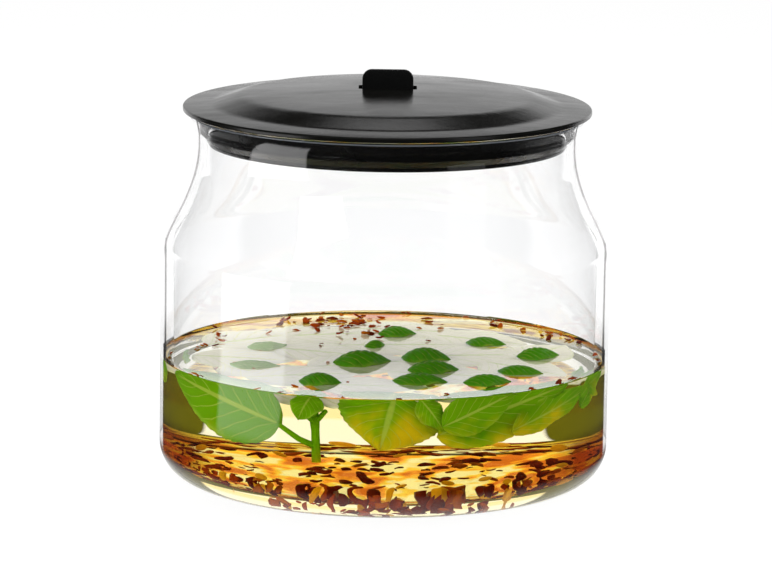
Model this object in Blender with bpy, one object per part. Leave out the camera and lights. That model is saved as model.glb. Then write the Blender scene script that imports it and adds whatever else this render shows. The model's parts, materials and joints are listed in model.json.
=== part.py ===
"""Preserving jar with a press-in lid and a fold-down pull tab, part filled with herb oil.

Metres, +Z up. The origin is the middle of the underside, and the jar's axis is Z.
The front is -Y.
"""

import math

import bmesh
import bpy
from mathutils import Matrix, Vector

# Clearances
FIT = 0.0003
RUNNING_CLEARANCE = 0.0004

# Turned pieces
SEGMENTS = 48

# Glass jar
BODY_RADIUS = 0.0802
GLASS_WALL = 0.0015
FLOOR_THICKNESS = 0.0048
BASE_CORNER = 0.0125
INNER_CORNER = 0.0105
FOOT_WIDTH = 0.0080
PUNT_RISE = 0.0012
PUNT_SLOPE = 0.0040
SHOULDER_START = 0.0820
SHOULDER_LOW_PULL = 0.0085
SHOULDER_HIGH_PULL = 0.0180
NECK_RADIUS = 0.0683
RIM_RADIUS = 0.0709
FLARE_HEIGHT = 0.01135
FLARE_LOW_PULL = 0.0088
FLARE_HIGH_PULL = 0.0008
JAR_HEIGHT = 0.13135

# Lid cover, with heights above the face that rests on the rim
FLANGE_OVERHANG = 0.0017
FLANGE_THICKNESS = 0.00175
DOME_OVERHANG = 0.0002
DOME_FOOT_HEIGHT = 0.00245
CROWN_SLOPE_WIDTH = 0.0100
CROWN_EDGE_HEIGHT = 0.00575
CROWN_HEIGHT = 0.00805
LID_WALL = 0.0022
SKIRT_GAP = 0.0050
SKIRT_WALL = 0.0020
PLUG_DEPTH = 0.01145
RETAINING_LIP = 0.0017
RETAINING_LIP_HEIGHT = 0.0011
BOSS_WALL = 0.0019
CROWN_ROUNDING = 0.0120
DOME_FOOT_ROUNDING = 0.0060
FLANGE_TOP_ROUNDING = 0.0006
FLANGE_LOW_ROUNDING = 0.0005
LIP_ROUNDING = 0.0003

# Seal ring, with depths below the face that rests on the rim
SEAL_WALL = 0.0025
BAND_GAP = 0.0008
BAND_TOP_DEPTH = 0.0019
BAND_BOTTOM_DEPTH = 0.00445
GROOVE_DEPTH = 0.00655
GROOVE_REACH = 0.0029
LIP_TOP_DEPTH = 0.0070
LIP_EDGE = 0.0004
SEAL_FOOT_REACH = 0.0018
BAND_ROUNDING = 0.0005

# Pull tab and its recess
TAB_WIDTH = 0.0181
TAB_THICKNESS = 0.0022
TAB_REACH = 0.0081
TAB_CORNER = 0.0027
TAB_EDGE = 0.0004
TAB_SINK = 0.0002
BARREL_SHOULDER = 0.0010
TRUNNION_RADIUS = 0.0007
TRUNNION_LENGTH = 0.0015
SOCKET_MOUTH = 0.0011
RECESS_CORNER = 0.0013
RECESS_FLOOR = 0.0015
SCOOP_RADIUS = 0.0050
SCOOP_DEPTH = 0.0020

# Contents
OIL_LEVEL = 0.0432
MENISCUS_RISE = 0.0009
MENISCUS_WIDTH = 0.0028
CHILLI_MARGIN = 0.0042
CHILLI_THICKNESS = 0.0016
LEAF_THICKNESS = 0.0008
LEAF_END_WIDTH = 0.0014
FLOATING_LEAF_LENGTH = 0.0160
FLOATING_DOME_SHARE = 0.45
FLOATING_LIFT_SHARE = 0.16
STEM_RADIUS = 0.0014
PETIOLE_RADIUS = 0.0009

# Worked out from the sizes above
NECK_HEIGHT = JAR_HEIGHT - FLARE_HEIGHT
LID_SEAT = JAR_HEIGHT + FIT
FLANGE_RADIUS = RIM_RADIUS + FLANGE_OVERHANG
SKIRT_RADIUS = min(NECK_RADIUS, RIM_RADIUS) - GLASS_WALL - SKIRT_GAP
DOME_RADIUS = SKIRT_RADIUS + DOME_OVERHANG
CROWN_RADIUS = DOME_RADIUS - CROWN_SLOPE_WIDTH
BARREL_RADIUS = TAB_THICKNESS / 2
AXIS_HEIGHT = LID_SEAT + CROWN_HEIGHT - TAB_SINK - BARREL_RADIUS
RECESS_BOTTOM = AXIS_HEIGHT - BARREL_RADIUS - FIT
RECESS_HALF_WIDTH = TAB_WIDTH / 2 + BARREL_SHOULDER + FIT
RECESS_FRONT = -BARREL_RADIUS - RUNNING_CLEARANCE
RECESS_BACK = TAB_REACH + RUNNING_CLEARANCE
SOCKET_RADIUS = TRUNNION_RADIUS + FIT
SOCKET_END = RECESS_HALF_WIDTH + TRUNNION_LENGTH
TRUNNION_END = SOCKET_END - FIT
BOSS_RADIUS = math.hypot(RECESS_HALF_WIDTH, RECESS_BACK) + BOSS_WALL
OIL_RADIUS = BODY_RADIUS - GLASS_WALL - FIT
CHILLI_RADIUS = BODY_RADIUS - GLASS_WALL - INNER_CORNER - CHILLI_MARGIN


def clear_scene():
    for obj in list(bpy.data.objects):
        bpy.data.objects.remove(obj)


def principled(name, color, roughness, metallic=0.0, transmission=0.0, ior=1.45):
    material = bpy.data.materials.new(name)
    material.use_nodes = True
    shader = material.node_tree.nodes["Principled BSDF"]
    shader.inputs["Base Color"].default_value = (*color, 1.0)
    shader.inputs["Roughness"].default_value = roughness
    shader.inputs["Metallic"].default_value = metallic
    shader.inputs["Transmission Weight"].default_value = transmission
    shader.inputs["IOR"].default_value = ior
    material.diffuse_color = (*color, 1.0)
    return material


def add_object(name, bm, material=None, smooth_angle=35.0):
    bmesh.ops.recalc_face_normals(bm, faces=bm.faces)
    mesh = bpy.data.meshes.new(name)
    bm.to_mesh(mesh)
    bm.free()
    mesh.shade_smooth()
    mesh.set_sharp_from_angle(angle=math.radians(smooth_angle))
    if material is not None:
        mesh.materials.append(material)
    obj = bpy.data.objects.new(name, mesh)
    bpy.context.collection.objects.link(obj)
    return obj


def as_guide(obj):
    obj.hide_render = True
    obj.display_type = "WIRE"
    return obj


def boolean(target, operand, operation):
    modifier = target.modifiers.new(f"{operation.title()} {operand.name}", "BOOLEAN")
    modifier.operation = operation
    modifier.solver = "EXACT"
    modifier.object = operand


def bezier(p0, p1, p2, p3, steps):
    """Points of a cubic curve, with its first point and without its last."""
    points = []
    for i in range(steps):
        t = i / steps
        s = 1.0 - t
        weights = (s * s * s, 3 * s * s * t, 3 * s * t * t, t * t * t)
        points.append(tuple(sum(w * p[k] for w, p in zip(weights, (p0, p1, p2, p3))) for k in (0, 1)))
    return points


def arc(centre, radius, start_deg, end_deg, steps):
    """Points of an arc, with both of its ends."""
    points = []
    for i in range(steps + 1):
        angle = math.radians(start_deg + (end_deg - start_deg) * i / steps)
        points.append((centre[0] + radius * math.cos(angle), centre[1] + radius * math.sin(angle)))
    return points


def offset_inward(points, distance):
    """The same curve moved towards the jar's axis, square to itself."""
    moved = []
    last = len(points) - 1
    for i, (r, z) in enumerate(points):
        before = Vector(points[max(i - 1, 0)])
        after = Vector(points[min(i + 1, last)])
        along = (after - before).normalized()
        moved.append((r - along.y * distance, z + along.x * distance))
    return moved


def radius_at(profile, height):
    """Radius of an upward profile at a height, read between its points."""
    for (r0, z0), (r1, z1) in zip(profile, profile[1:]):
        if z0 <= height <= z1:
            return r0 + (r1 - r0) * (height - z0) / (z1 - z0)
    return profile[-1][0]


def revolve(name, profile, material):
    """Turns a closed profile of (radius, height) points round Z."""
    bm = bmesh.new()
    verts = [bm.verts.new((r, 0.0, z)) for r, z in profile]
    edges = [bm.edges.new((a, b)) for a, b in zip(verts, verts[1:])]
    if profile[0][0] > 0.0:
        edges.append(bm.edges.new((verts[-1], verts[0])))
    bmesh.ops.spin(bm, geom=verts + edges, cent=(0, 0, 0), axis=(0, 0, 1), dvec=(0, 0, 0),
                   angle=math.tau, steps=SEGMENTS, use_merge=True, use_duplicate=False)
    bmesh.ops.remove_doubles(bm, verts=bm.verts, dist=1e-6)
    return add_object(name, bm, material)


# Glass jar

def glass_side():
    """Outer wall from the top of the base corner up to the rim's round edge."""
    wall_start = (BODY_RADIUS, BASE_CORNER)
    shoulder = bezier((BODY_RADIUS, SHOULDER_START), (BODY_RADIUS, SHOULDER_START + SHOULDER_LOW_PULL),
                      (NECK_RADIUS, NECK_HEIGHT - SHOULDER_HIGH_PULL), (NECK_RADIUS, NECK_HEIGHT), 8)
    rim_edge = JAR_HEIGHT - GLASS_WALL / 2
    flare = bezier((NECK_RADIUS, NECK_HEIGHT), (NECK_RADIUS, NECK_HEIGHT + FLARE_LOW_PULL),
                   (RIM_RADIUS, rim_edge - FLARE_HIGH_PULL), (RIM_RADIUS, rim_edge), 5)
    return [wall_start] + shoulder + flare + [(RIM_RADIUS, rim_edge)]


def glass_inner_side():
    """Inner wall, from the inner base corner up to the rim."""
    side = offset_inward(glass_side(), GLASS_WALL)
    side[0] = (BODY_RADIUS - GLASS_WALL, FLOOR_THICKNESS + INNER_CORNER)
    side[-1] = (RIM_RADIUS - GLASS_WALL, side[-1][1])
    return side


def bore_above(height):
    """Narrowest inner radius of the glass from a height up to the rim, for a plug to pass."""
    side = glass_inner_side()
    return min([radius_at(side, height)] + [r for r, z in side if z > height])


def inner_floor_corner(grow=0.0):
    """Rounded corner between the glass floor and the inner wall, floor first."""
    centre = (BODY_RADIUS - GLASS_WALL - INNER_CORNER, FLOOR_THICKNESS + INNER_CORNER)
    return arc(centre, INNER_CORNER - grow, -90, 0, 5)


def make_glass_jar(material):
    foot_outer = BODY_RADIUS - BASE_CORNER
    foot_inner = foot_outer - FOOT_WIDTH
    profile = [(0.0, PUNT_RISE), (foot_inner - PUNT_SLOPE, PUNT_RISE), (foot_inner, 0.0)]
    profile += arc((foot_outer, BASE_CORNER), BASE_CORNER, -90, 0, 6)[:-1]
    profile += glass_side()
    rim_centre = (RIM_RADIUS - GLASS_WALL / 2, JAR_HEIGHT - GLASS_WALL / 2)
    profile += arc(rim_centre, GLASS_WALL / 2, 0, 180, 4)[1:-1]
    profile += list(reversed(glass_inner_side()))
    profile += list(reversed(inner_floor_corner()))[1:]
    profile += [(0.0, FLOOR_THICKNESS)]
    return revolve("glass_jar", profile, material)


# Lid

def crown_height(radius):
    """Height of the lid's outer face above its seat, from the middle to the dome's foot."""
    if radius <= CROWN_RADIUS:
        return CROWN_HEIGHT - (CROWN_HEIGHT - CROWN_EDGE_HEIGHT) * (radius / CROWN_RADIUS) ** 2
    share = (radius - CROWN_RADIUS) / (DOME_RADIUS - CROWN_RADIUS)
    return CROWN_EDGE_HEIGHT + (DOME_FOOT_HEIGHT - CROWN_EDGE_HEIGHT) * share


def round_corner(before, corner, after, radius, steps=3):
    """Arc that rounds one corner of a profile."""
    before, corner, after = Vector(before), Vector(corner), Vector(after)
    back = (before - corner).normalized()
    ahead = (after - corner).normalized()
    half = back.angle(ahead) / 2
    reach = min(radius / math.tan(half), 0.45 * (before - corner).length, 0.45 * (after - corner).length)
    radius = reach * math.tan(half)
    centre = corner + (back + ahead).normalized() * radius / math.sin(half)
    start = corner + back * reach - centre
    end = corner + ahead * reach - centre
    turn = start.angle_signed(end)
    points = []
    for i in range(steps + 1):
        angle = -turn * i / steps
        x = start.x * math.cos(angle) - start.y * math.sin(angle)
        y = start.x * math.sin(angle) + start.y * math.cos(angle)
        points.append((centre.x + x, centre.y + y))
    return points


def rounded_profile(corners):
    """Profile from (radius, height, rounding) corners. A rounding of 0 keeps the corner."""
    points = []
    for i, (r, z, rounding) in enumerate(corners):
        if rounding == 0.0:
            points.append((r, z))
            continue
        before = corners[i - 1][:2]
        after = corners[(i + 1) % len(corners)][:2]
        points += round_corner(before, (r, z), after, rounding)
    return points


def make_lid_cover(material):
    inner = SKIRT_RADIUS - SKIRT_WALL
    lip = SKIRT_RADIUS + RETAINING_LIP
    lip_top = -PLUG_DEPTH + RETAINING_LIP_HEIGHT
    boss_foot = RECESS_BOTTOM - LID_SEAT - RECESS_FLOOR
    corners = [(0.0, CROWN_HEIGHT, 0.0)]
    corners += [(CROWN_RADIUS * k / 4, crown_height(CROWN_RADIUS * k / 4), 0.0) for k in (1, 2, 3)]
    corners += [
        (CROWN_RADIUS, CROWN_EDGE_HEIGHT, CROWN_ROUNDING),
        (DOME_RADIUS, DOME_FOOT_HEIGHT, DOME_FOOT_ROUNDING),
        (FLANGE_RADIUS, FLANGE_THICKNESS, FLANGE_TOP_ROUNDING),
        (FLANGE_RADIUS, 0.0, FLANGE_LOW_ROUNDING),
        (SKIRT_RADIUS, 0.0, 0.0),
        (SKIRT_RADIUS, lip_top, 0.0),
        (lip, lip_top, 0.0),
        (lip, -PLUG_DEPTH, LIP_ROUNDING),
        (inner, -PLUG_DEPTH, 0.0),
        (inner, crown_height(inner) - LID_WALL, 0.0),
        (CROWN_RADIUS, CROWN_EDGE_HEIGHT - LID_WALL, 0.0),
        (CROWN_RADIUS / 2, crown_height(CROWN_RADIUS / 2) - LID_WALL, 0.0),
        (BOSS_RADIUS, crown_height(BOSS_RADIUS) - LID_WALL, 0.0),
        (BOSS_RADIUS, boss_foot, 0.0),
        (0.0, boss_foot, 0.0),
    ]
    profile = [(r, z + LID_SEAT) for r, z in rounded_profile(corners)]
    cover = revolve("lid_cover", profile, material)
    boolean(cover, recess_cutter(), "DIFFERENCE")
    boolean(cover, scoop_cutter(), "DIFFERENCE")
    for side in (-1, 1):
        boolean(cover, socket_cutter(side), "DIFFERENCE")
    return cover


def prism(name, outline, vector, material=None):
    """A closed outline of 3-D points, extruded along a vector."""
    bm = bmesh.new()
    face = bm.faces.new([bm.verts.new(p) for p in outline])
    result = bmesh.ops.extrude_face_region(bm, geom=[face])
    moved = [v for v in result["geom"] if isinstance(v, bmesh.types.BMVert)]
    bmesh.ops.translate(bm, verts=moved, vec=vector)
    return add_object(name, bm, material)


def recess_cutter():
    """The hollow that the folded tab lies in, with rounded corners in plan."""
    left = -RECESS_HALF_WIDTH + RECESS_CORNER
    right = RECESS_HALF_WIDTH - RECESS_CORNER
    front = RECESS_FRONT + RECESS_CORNER
    back = RECESS_BACK - RECESS_CORNER
    corners = (((right, front), -90), ((right, back), 0), ((left, back), 90), ((left, front), 180))
    plan = []
    for centre, start in corners:
        plan += arc(centre, RECESS_CORNER, start, start + 90, 3)
    outline = [(x, y, RECESS_BOTTOM) for x, y in plan]
    return as_guide(prism("recess_cutter", outline, (0, 0, 2 * CROWN_HEIGHT)))


def scoop_cutter():
    """Round dip behind the folded tab's tip, for a finger."""
    bm = bmesh.new()
    bmesh.ops.create_uvsphere(bm, u_segments=20, v_segments=12, radius=SCOOP_RADIUS)
    cutter = add_object("scoop_cutter", bm)
    surface = LID_SEAT + crown_height(TAB_REACH)
    cutter.location = (0, TAB_REACH + SCOOP_DEPTH / 2, surface - SCOOP_DEPTH + SCOOP_RADIUS)
    return as_guide(cutter)


def socket_cutter(side):
    """Snap-in socket for one trunnion: a round bottom under a narrower mouth."""
    half_mouth = SOCKET_MOUTH / 2
    lean = math.degrees(math.asin(half_mouth / SOCKET_RADIUS))
    section = arc((0.0, AXIS_HEIGHT), SOCKET_RADIUS, 90 + lean, 450 - lean, 12)
    above = LID_SEAT + 2 * CROWN_HEIGHT
    section += [(half_mouth, above), (-half_mouth, above)]
    start = side * (RECESS_HALF_WIDTH - RECESS_CORNER)
    length = side * (SOCKET_END - RECESS_HALF_WIDTH + RECESS_CORNER)
    outline = [(start, y, z) for y, z in section]
    name = "socket_cutter_left" if side < 0 else "socket_cutter_right"
    return as_guide(prism(name, outline, (length, 0, 0)))


def make_seal_ring(material):
    """Elastic ring round the plug: a band, a V groove and a lip that meets the glass."""
    inner = SKIRT_RADIUS + FIT
    top = -FIT
    bottom = -PLUG_DEPTH + RETAINING_LIP_HEIGHT + FIT
    band_radius = bore_above(LID_SEAT - BAND_BOTTOM_DEPTH) - BAND_GAP
    lip_radius = bore_above(LID_SEAT - LIP_TOP_DEPTH) - FIT
    corners = [
        (inner, top, 0.0),
        (inner + SEAL_WALL, top, 0.0),
        (band_radius, -BAND_TOP_DEPTH, BAND_ROUNDING),
        (band_radius, -BAND_BOTTOM_DEPTH, 0.0),
        (inner + GROOVE_REACH, -GROOVE_DEPTH, 0.0),
        (lip_radius, -LIP_TOP_DEPTH, 0.0),
        (lip_radius, -LIP_TOP_DEPTH - LIP_EDGE, 0.0),
        (inner + SEAL_FOOT_REACH, bottom, 0.0),
        (inner, bottom, 0.0),
    ]
    profile = [(r, z + LID_SEAT) for r, z in rounded_profile(corners)]
    return revolve("seal_ring", profile, material)


# Pull tab, modelled round its own hinge axis

def tab_barrel(material):
    """Barrel with a thinner trunnion at each end, turned round X."""
    barrel = TAB_WIDTH / 2 + BARREL_SHOULDER
    profile = [(0.0, -TRUNNION_END), (TRUNNION_RADIUS, -TRUNNION_END), (TRUNNION_RADIUS, -barrel),
               (BARREL_RADIUS, -barrel), (BARREL_RADIUS, barrel), (TRUNNION_RADIUS, barrel),
               (TRUNNION_RADIUS, TRUNNION_END), (0.0, TRUNNION_END)]
    bm = bmesh.new()
    verts = [bm.verts.new((x, 0.0, r)) for r, x in profile]
    edges = [bm.edges.new((a, b)) for a, b in zip(verts, verts[1:])]
    bmesh.ops.spin(bm, geom=verts + edges, cent=(0, 0, 0), axis=(1, 0, 0), dvec=(0, 0, 0),
                   angle=math.tau, steps=20, use_merge=True, use_duplicate=False)
    bmesh.ops.remove_doubles(bm, verts=bm.verts, dist=1e-6)
    return add_object("pull_tab", bm, material)


def tab_tongue():
    """The part that stands up, with round top corners and eased edges."""
    half = TAB_WIDTH / 2
    top = TAB_REACH - TAB_CORNER
    plan = [(-half, 0.0), (half, 0.0)]
    plan += arc((half - TAB_CORNER, top), TAB_CORNER, 0, 90, 5)
    plan += arc((-half + TAB_CORNER, top), TAB_CORNER, 90, 180, 5)
    outline = [(x, -TAB_THICKNESS / 2, z) for x, z in plan]
    tongue = prism("tab_tongue", outline, (0, TAB_THICKNESS, 0))
    edges = tongue.modifiers.new("Eased edges", "BEVEL")
    edges.width = TAB_EDGE
    edges.segments = 1
    edges.angle_limit = math.radians(50)
    return as_guide(tongue)


def make_pull_tab(material):
    tab = tab_barrel(material)
    tongue = tab_tongue()
    boolean(tab, tongue, "UNION")
    for piece in (tab, tongue):
        piece.location = (0, 0, AXIS_HEIGHT)
    return tab


# Herb leaves

def leaf_outline(u):
    """Half width of an ovate leaf along its midrib, as a share of its greatest."""
    return math.sin(math.pi * min(max(u, 0.0), 1.0) ** 0.72) ** 0.8


def make_leaf(name, base, tip, facing, width, arch, dome, material=None, grow=0.0, steps=7):
    """A leaf blade from base to tip, whose upper face looks along facing.

    width, arch (how far the midrib bows out towards facing) and dome (how far the edges curl
    back) are shares of its length. grow makes it larger all over, for the pocket that holds it.
    """
    base, tip = Vector(base), Vector(tip)
    along = (tip - base).normalized()
    side = along.cross(Vector(facing)).normalized()
    normal = side.cross(along)
    length = (tip - base).length
    width, arch, dome = width * length, arch * length, dome * length
    across = 4
    thickness = LEAF_THICKNESS + 2 * grow

    def middle(u, v):
        half = width / 2 * leaf_outline(u) + LEAF_END_WIDTH / 2 + grow
        bow = 4 * arch * u * (1 - u)
        curl = dome * v * v * leaf_outline(u)
        return base + along * (length * u) + side * (half * v) + normal * (bow - curl)

    margin = grow / length
    stations = [-margin + (1 + 2 * margin) * i / steps for i in range(steps + 1)]
    offsets = [-1 + 2 * j / across for j in range(across + 1)]
    bm = bmesh.new()
    layers = []
    for level in (thickness / 2, -thickness / 2):
        rows = [[bm.verts.new(middle(u, v) + normal * level) for v in offsets] for u in stations]
        layers.append(rows)
    top, bottom = layers
    for i in range(steps):
        for j in range(across):
            bm.faces.new((top[i][j], top[i][j + 1], top[i + 1][j + 1], top[i + 1][j]))
            bm.faces.new((bottom[i][j], bottom[i + 1][j], bottom[i + 1][j + 1], bottom[i][j + 1]))
    for i in range(steps):
        for j in (0, across):
            bm.faces.new((top[i][j], top[i + 1][j], bottom[i + 1][j], bottom[i][j]))
    for j in range(across):
        for i in (0, steps):
            bm.faces.new((top[i][j], top[i][j + 1], bottom[i][j + 1], bottom[i][j]))
    return add_object(name, bm, material, smooth_angle=60.0)


def make_stem(name, start, end, radius, material=None, grow=0.0, sides=8):
    """A straight round stalk."""
    start, end = Vector(start), Vector(end)
    along = (end - start).normalized()
    start -= along * grow
    end += along * grow
    bm = bmesh.new()
    bmesh.ops.create_cone(bm, segments=sides, radius1=radius + grow, radius2=radius + grow,
                          depth=(end - start).length, cap_ends=True)
    stalk = add_object(name, bm, material)
    turned = along.to_track_quat("Z", "Y").to_matrix().to_4x4()
    stalk.data.transform(Matrix.Translation((start + end) / 2) @ turned)
    return stalk


# Places in the oil are (x, y, z) shares of its radius and of its level.
# The sprig's stalks are start, end and radius.
SPRIG_STALKS = (
    ("sprig_stem", (-0.274, -0.797, 0.440), (-0.287, -0.778, 1.032), STEM_RADIUS),
    ("sprig_petiole", (-0.276, -0.793, 0.567), (-0.449, -0.793, 0.745), PETIOLE_RADIUS),
    ("sprig_shoot_left", (-0.282, -0.788, 0.764), (-0.327, -0.816, 0.861), PETIOLE_RADIUS),
    ("sprig_shoot_right", (-0.282, -0.788, 0.764), (-0.237, -0.823, 0.870), PETIOLE_RADIUS),
)

# Leaves are base, tip and facing, then width, arch and dome as shares of the leaf's length.
SPRIG_LEAVES = (
    ("sprig_leaf_large", (-0.434, -0.793, 0.736), (-0.893, -0.332, 0.961),
     (-0.60, -0.72, 0.30), 0.395, 0.058, 0.029),
    ("sprig_leaf_small", (-0.291, -0.781, 0.984), (-0.364, -0.867, 0.799),
     (-0.30, -0.70, 0.60), 0.92, 0.084, 0.084),
)

SUBMERGED_LEAVES = (
    ("basil_leaf_middle", (0.051, -0.810, 1.032), (-0.013, -0.867, 0.567),
     (0.0, -1.0, 0.20), 1.60, 0.094, 0.212),
    ("basil_leaf_right", (0.230, -0.880, 0.694), (0.778, -0.497, 0.984),
     (0.48, -0.78, 0.40), 0.380, 0.065, 0.028),
    ("basil_leaf_far_right", (0.842, -0.434, 0.764), (0.893, -0.179, 1.042),
     (0.85, -0.45, 0.25), 0.338, 0.042, 0.042),
    ("basil_leaf_far_left", (-0.893, -0.166, 0.833), (-0.906, 0.077, 1.037),
     (-0.95, -0.20, 0.20), 0.382, 0.048, 0.038),
)

# Leaves on the oil are centre (x, y), length against the usual one, heading in degrees, then
# width and crown height as shares of the leaf's length.
FLOATING_LEAVES = (
    ((-0.099, -0.153), 1.31, 12, 0.71, 0.18),
    ((-0.042, 0.212), 0.53, 35, 0.71, 0.26),
    ((-0.282, -0.599), 0.94, -8, 0.77, 0.20),
    ((0.060, 0.497), 0.88, 5, 0.79, 0.19),
    ((0.191, -0.055), 1.13, -10, 0.75, 0.20),
    ((0.222, -0.306), 1.16, 8, 0.73, 0.16),
    ((0.162, -0.561), 1.22, -5, 0.64, 0.13),
    ((0.459, -0.561), 1.06, 10, 0.68, 0.15),
    ((0.472, 0.305), 0.94, -12, 0.70, 0.13),
    ((0.705, 0.036), 1.00, 15, 0.75, 0.175),
    ((0.612, -0.332), 1.03, -15, 0.61, 0.13),
    ((-0.540, 0.166), 0.94, 20, 0.73, 0.08),
    ((-0.580, -0.255), 1.13, -6, 0.64, 0.055),
)


def in_oil(place):
    """Point for a place given as shares of the oil's radius and level."""
    x, y, z = place
    return Vector((x * OIL_RADIUS, y * OIL_RADIUS, z * OIL_LEVEL))


def oil_profile():
    """Section of the oil, a clearance inside the glass and over the chilli bed."""
    wall = OIL_RADIUS
    bed_top = FLOOR_THICKNESS + 2 * FIT + CHILLI_THICKNESS
    bed_edge = CHILLI_RADIUS + FIT
    profile = [(0.0, bed_top), (bed_edge, bed_top), (bed_edge, FLOOR_THICKNESS + FIT)]
    profile += inner_floor_corner(FIT)
    profile += [(wall, OIL_LEVEL + MENISCUS_RISE)]
    profile += [(wall - MENISCUS_WIDTH * 0.4, OIL_LEVEL + MENISCUS_RISE * 0.3)]
    profile += [(wall - MENISCUS_WIDTH, OIL_LEVEL), (0.0, OIL_LEVEL)]
    return profile


def make_sprig(material):
    """One stem with its leaves, joined into one body."""
    sprig = None
    for name, start, end, radius in SPRIG_STALKS:
        if sprig is None:
            sprig = make_stem("basil_sprig", in_oil(start), in_oil(end), radius, material)
        else:
            shoot = make_stem(name, in_oil(start), in_oil(end), radius)
            boolean(sprig, as_guide(shoot), "UNION")
    for name, base, tip, *shape in SPRIG_LEAVES:
        boolean(sprig, as_guide(make_leaf(name, in_oil(base), in_oil(tip), *shape)), "UNION")
    return sprig


def make_oil(material):
    """The oil, with an open pocket round everything that hangs in it."""
    oil = revolve("infused_oil", oil_profile(), material)
    for name, start, end, radius in SPRIG_STALKS:
        pocket = make_stem(f"{name}_pocket", in_oil(start), in_oil(end), radius, grow=FIT)
        boolean(oil, as_guide(pocket), "DIFFERENCE")
    for name, base, tip, *shape in SPRIG_LEAVES + SUBMERGED_LEAVES:
        pocket = make_leaf(f"{name}_pocket", in_oil(base), in_oil(tip), *shape, grow=FIT)
        boolean(oil, as_guide(pocket), "DIFFERENCE")
    return oil


def make_chilli_bed(material):
    low = FLOOR_THICKNESS + FIT
    high = low + CHILLI_THICKNESS
    edge = CHILLI_THICKNESS / 2
    profile = [(0.0, low), (CHILLI_RADIUS, low), (CHILLI_RADIUS, high - edge),
               (CHILLI_RADIUS - edge, high), (0.0, high)]
    return revolve("chilli_bed", profile, material)


def make_floating_leaf(index, centre, size, heading, width, crown, material):
    """A domed leaf that lies on the oil with its edges down."""
    angle = math.radians(heading)
    length = FLOATING_LEAF_LENGTH * size
    half = Vector((math.cos(angle), math.sin(angle), 0.0)) * length / 2
    edge_height = OIL_LEVEL + FIT + LEAF_THICKNESS / 2
    middle = Vector((centre[0] * OIL_RADIUS, centre[1] * OIL_RADIUS, edge_height))
    dome = crown * FLOATING_DOME_SHARE
    lift = Vector((0.0, 0.0, crown * length * FLOATING_LIFT_SHARE))
    return make_leaf(f"floating_leaf_{index}", middle - half + lift, middle + half + lift,
                     (0.0, 0.0, 1.0), width, crown - dome, dome, material, steps=6)


def main():
    clear_scene()
    glass = principled("clear glass", (0.90, 0.95, 0.93), 0.02, transmission=1.0, ior=1.50)
    lid_black = principled("matte black moulding", (0.028, 0.028, 0.026), 0.45)
    ring_black = principled("black silicone", (0.022, 0.022, 0.021), 0.50)
    tab_black = principled("pull tab black", (0.016, 0.016, 0.015), 0.55)
    oil_gold = principled("golden oil", (0.95, 0.78, 0.28), 0.02, transmission=1.0, ior=1.47)
    leaf_green = principled("basil green", (0.10, 0.27, 0.03), 0.40)
    chilli_red = principled("chilli flakes", (0.30, 0.05, 0.01), 0.60)

    make_glass_jar(glass)
    lid = bpy.data.objects.new("lid", None)
    lid.location = (0, 0, LID_SEAT)
    bpy.context.collection.objects.link(lid)
    for piece in (make_lid_cover(lid_black), make_seal_ring(ring_black), make_pull_tab(tab_black)):
        piece.parent = lid
        piece.matrix_parent_inverse = Matrix.Translation((0, 0, -LID_SEAT))

    make_chilli_bed(chilli_red)
    make_oil(oil_gold)
    make_sprig(leaf_green)
    for name, base, tip, *shape in SUBMERGED_LEAVES:
        make_leaf(name, in_oil(base), in_oil(tip), *shape, material=leaf_green)
    for index, leaf in enumerate(FLOATING_LEAVES, start=1):
        make_floating_leaf(index, *leaf, material=leaf_green)


main()
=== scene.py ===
"""Looks of a preserving jar: clear glass, a matt black press-in lid and herb oil inside.

Metres, +Z up. The jar stands on z = 0 with its axis on Z, and its front is -Y.
"""

import json
import math
import random

import bmesh
import bpy
from mathutils import Matrix, Vector

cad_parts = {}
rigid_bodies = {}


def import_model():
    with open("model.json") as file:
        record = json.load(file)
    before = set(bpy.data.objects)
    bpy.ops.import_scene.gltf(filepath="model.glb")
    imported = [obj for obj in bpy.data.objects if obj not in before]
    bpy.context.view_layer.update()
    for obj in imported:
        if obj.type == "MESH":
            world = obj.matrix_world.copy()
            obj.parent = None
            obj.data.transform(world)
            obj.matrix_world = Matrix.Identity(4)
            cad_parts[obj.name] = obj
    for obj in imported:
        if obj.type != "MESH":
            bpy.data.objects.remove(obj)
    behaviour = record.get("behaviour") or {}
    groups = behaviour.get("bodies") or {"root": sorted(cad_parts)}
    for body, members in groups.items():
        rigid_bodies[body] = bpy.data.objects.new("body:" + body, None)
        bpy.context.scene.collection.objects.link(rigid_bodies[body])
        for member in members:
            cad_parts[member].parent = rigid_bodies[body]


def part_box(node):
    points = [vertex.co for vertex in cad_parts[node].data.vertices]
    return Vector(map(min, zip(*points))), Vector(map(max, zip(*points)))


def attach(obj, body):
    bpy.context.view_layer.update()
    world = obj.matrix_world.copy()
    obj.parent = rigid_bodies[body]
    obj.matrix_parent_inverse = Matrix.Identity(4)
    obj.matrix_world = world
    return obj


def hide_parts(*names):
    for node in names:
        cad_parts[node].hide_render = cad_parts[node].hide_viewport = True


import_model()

bl_info = {
    "name": "Preserving Jar",
    "version": (1, 0, 0),
    "blender": (4, 5, 0),
    "location": "3D View > Sidebar > Jar",
    "description": "Builds a glass preserving jar with its lid, herb oil and studio",
    "category": "Object",
}

_, GLASS_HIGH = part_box("glass_jar")
_, LID_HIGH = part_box("lid_cover")
_, TAB_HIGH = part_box("pull_tab")

WHITE = (1.0, 1.0, 1.0)
NEARLY_CLEAR = (0.97, 0.97, 0.97)


# Shader maths

def math_method(operation, reflected=False):
    """Method of Value that adds a Math node."""
    def method(self, *others):
        values = (*others, self) if reflected else (self, *others)
        return self.maker.math(operation, *values)
    return method


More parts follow.
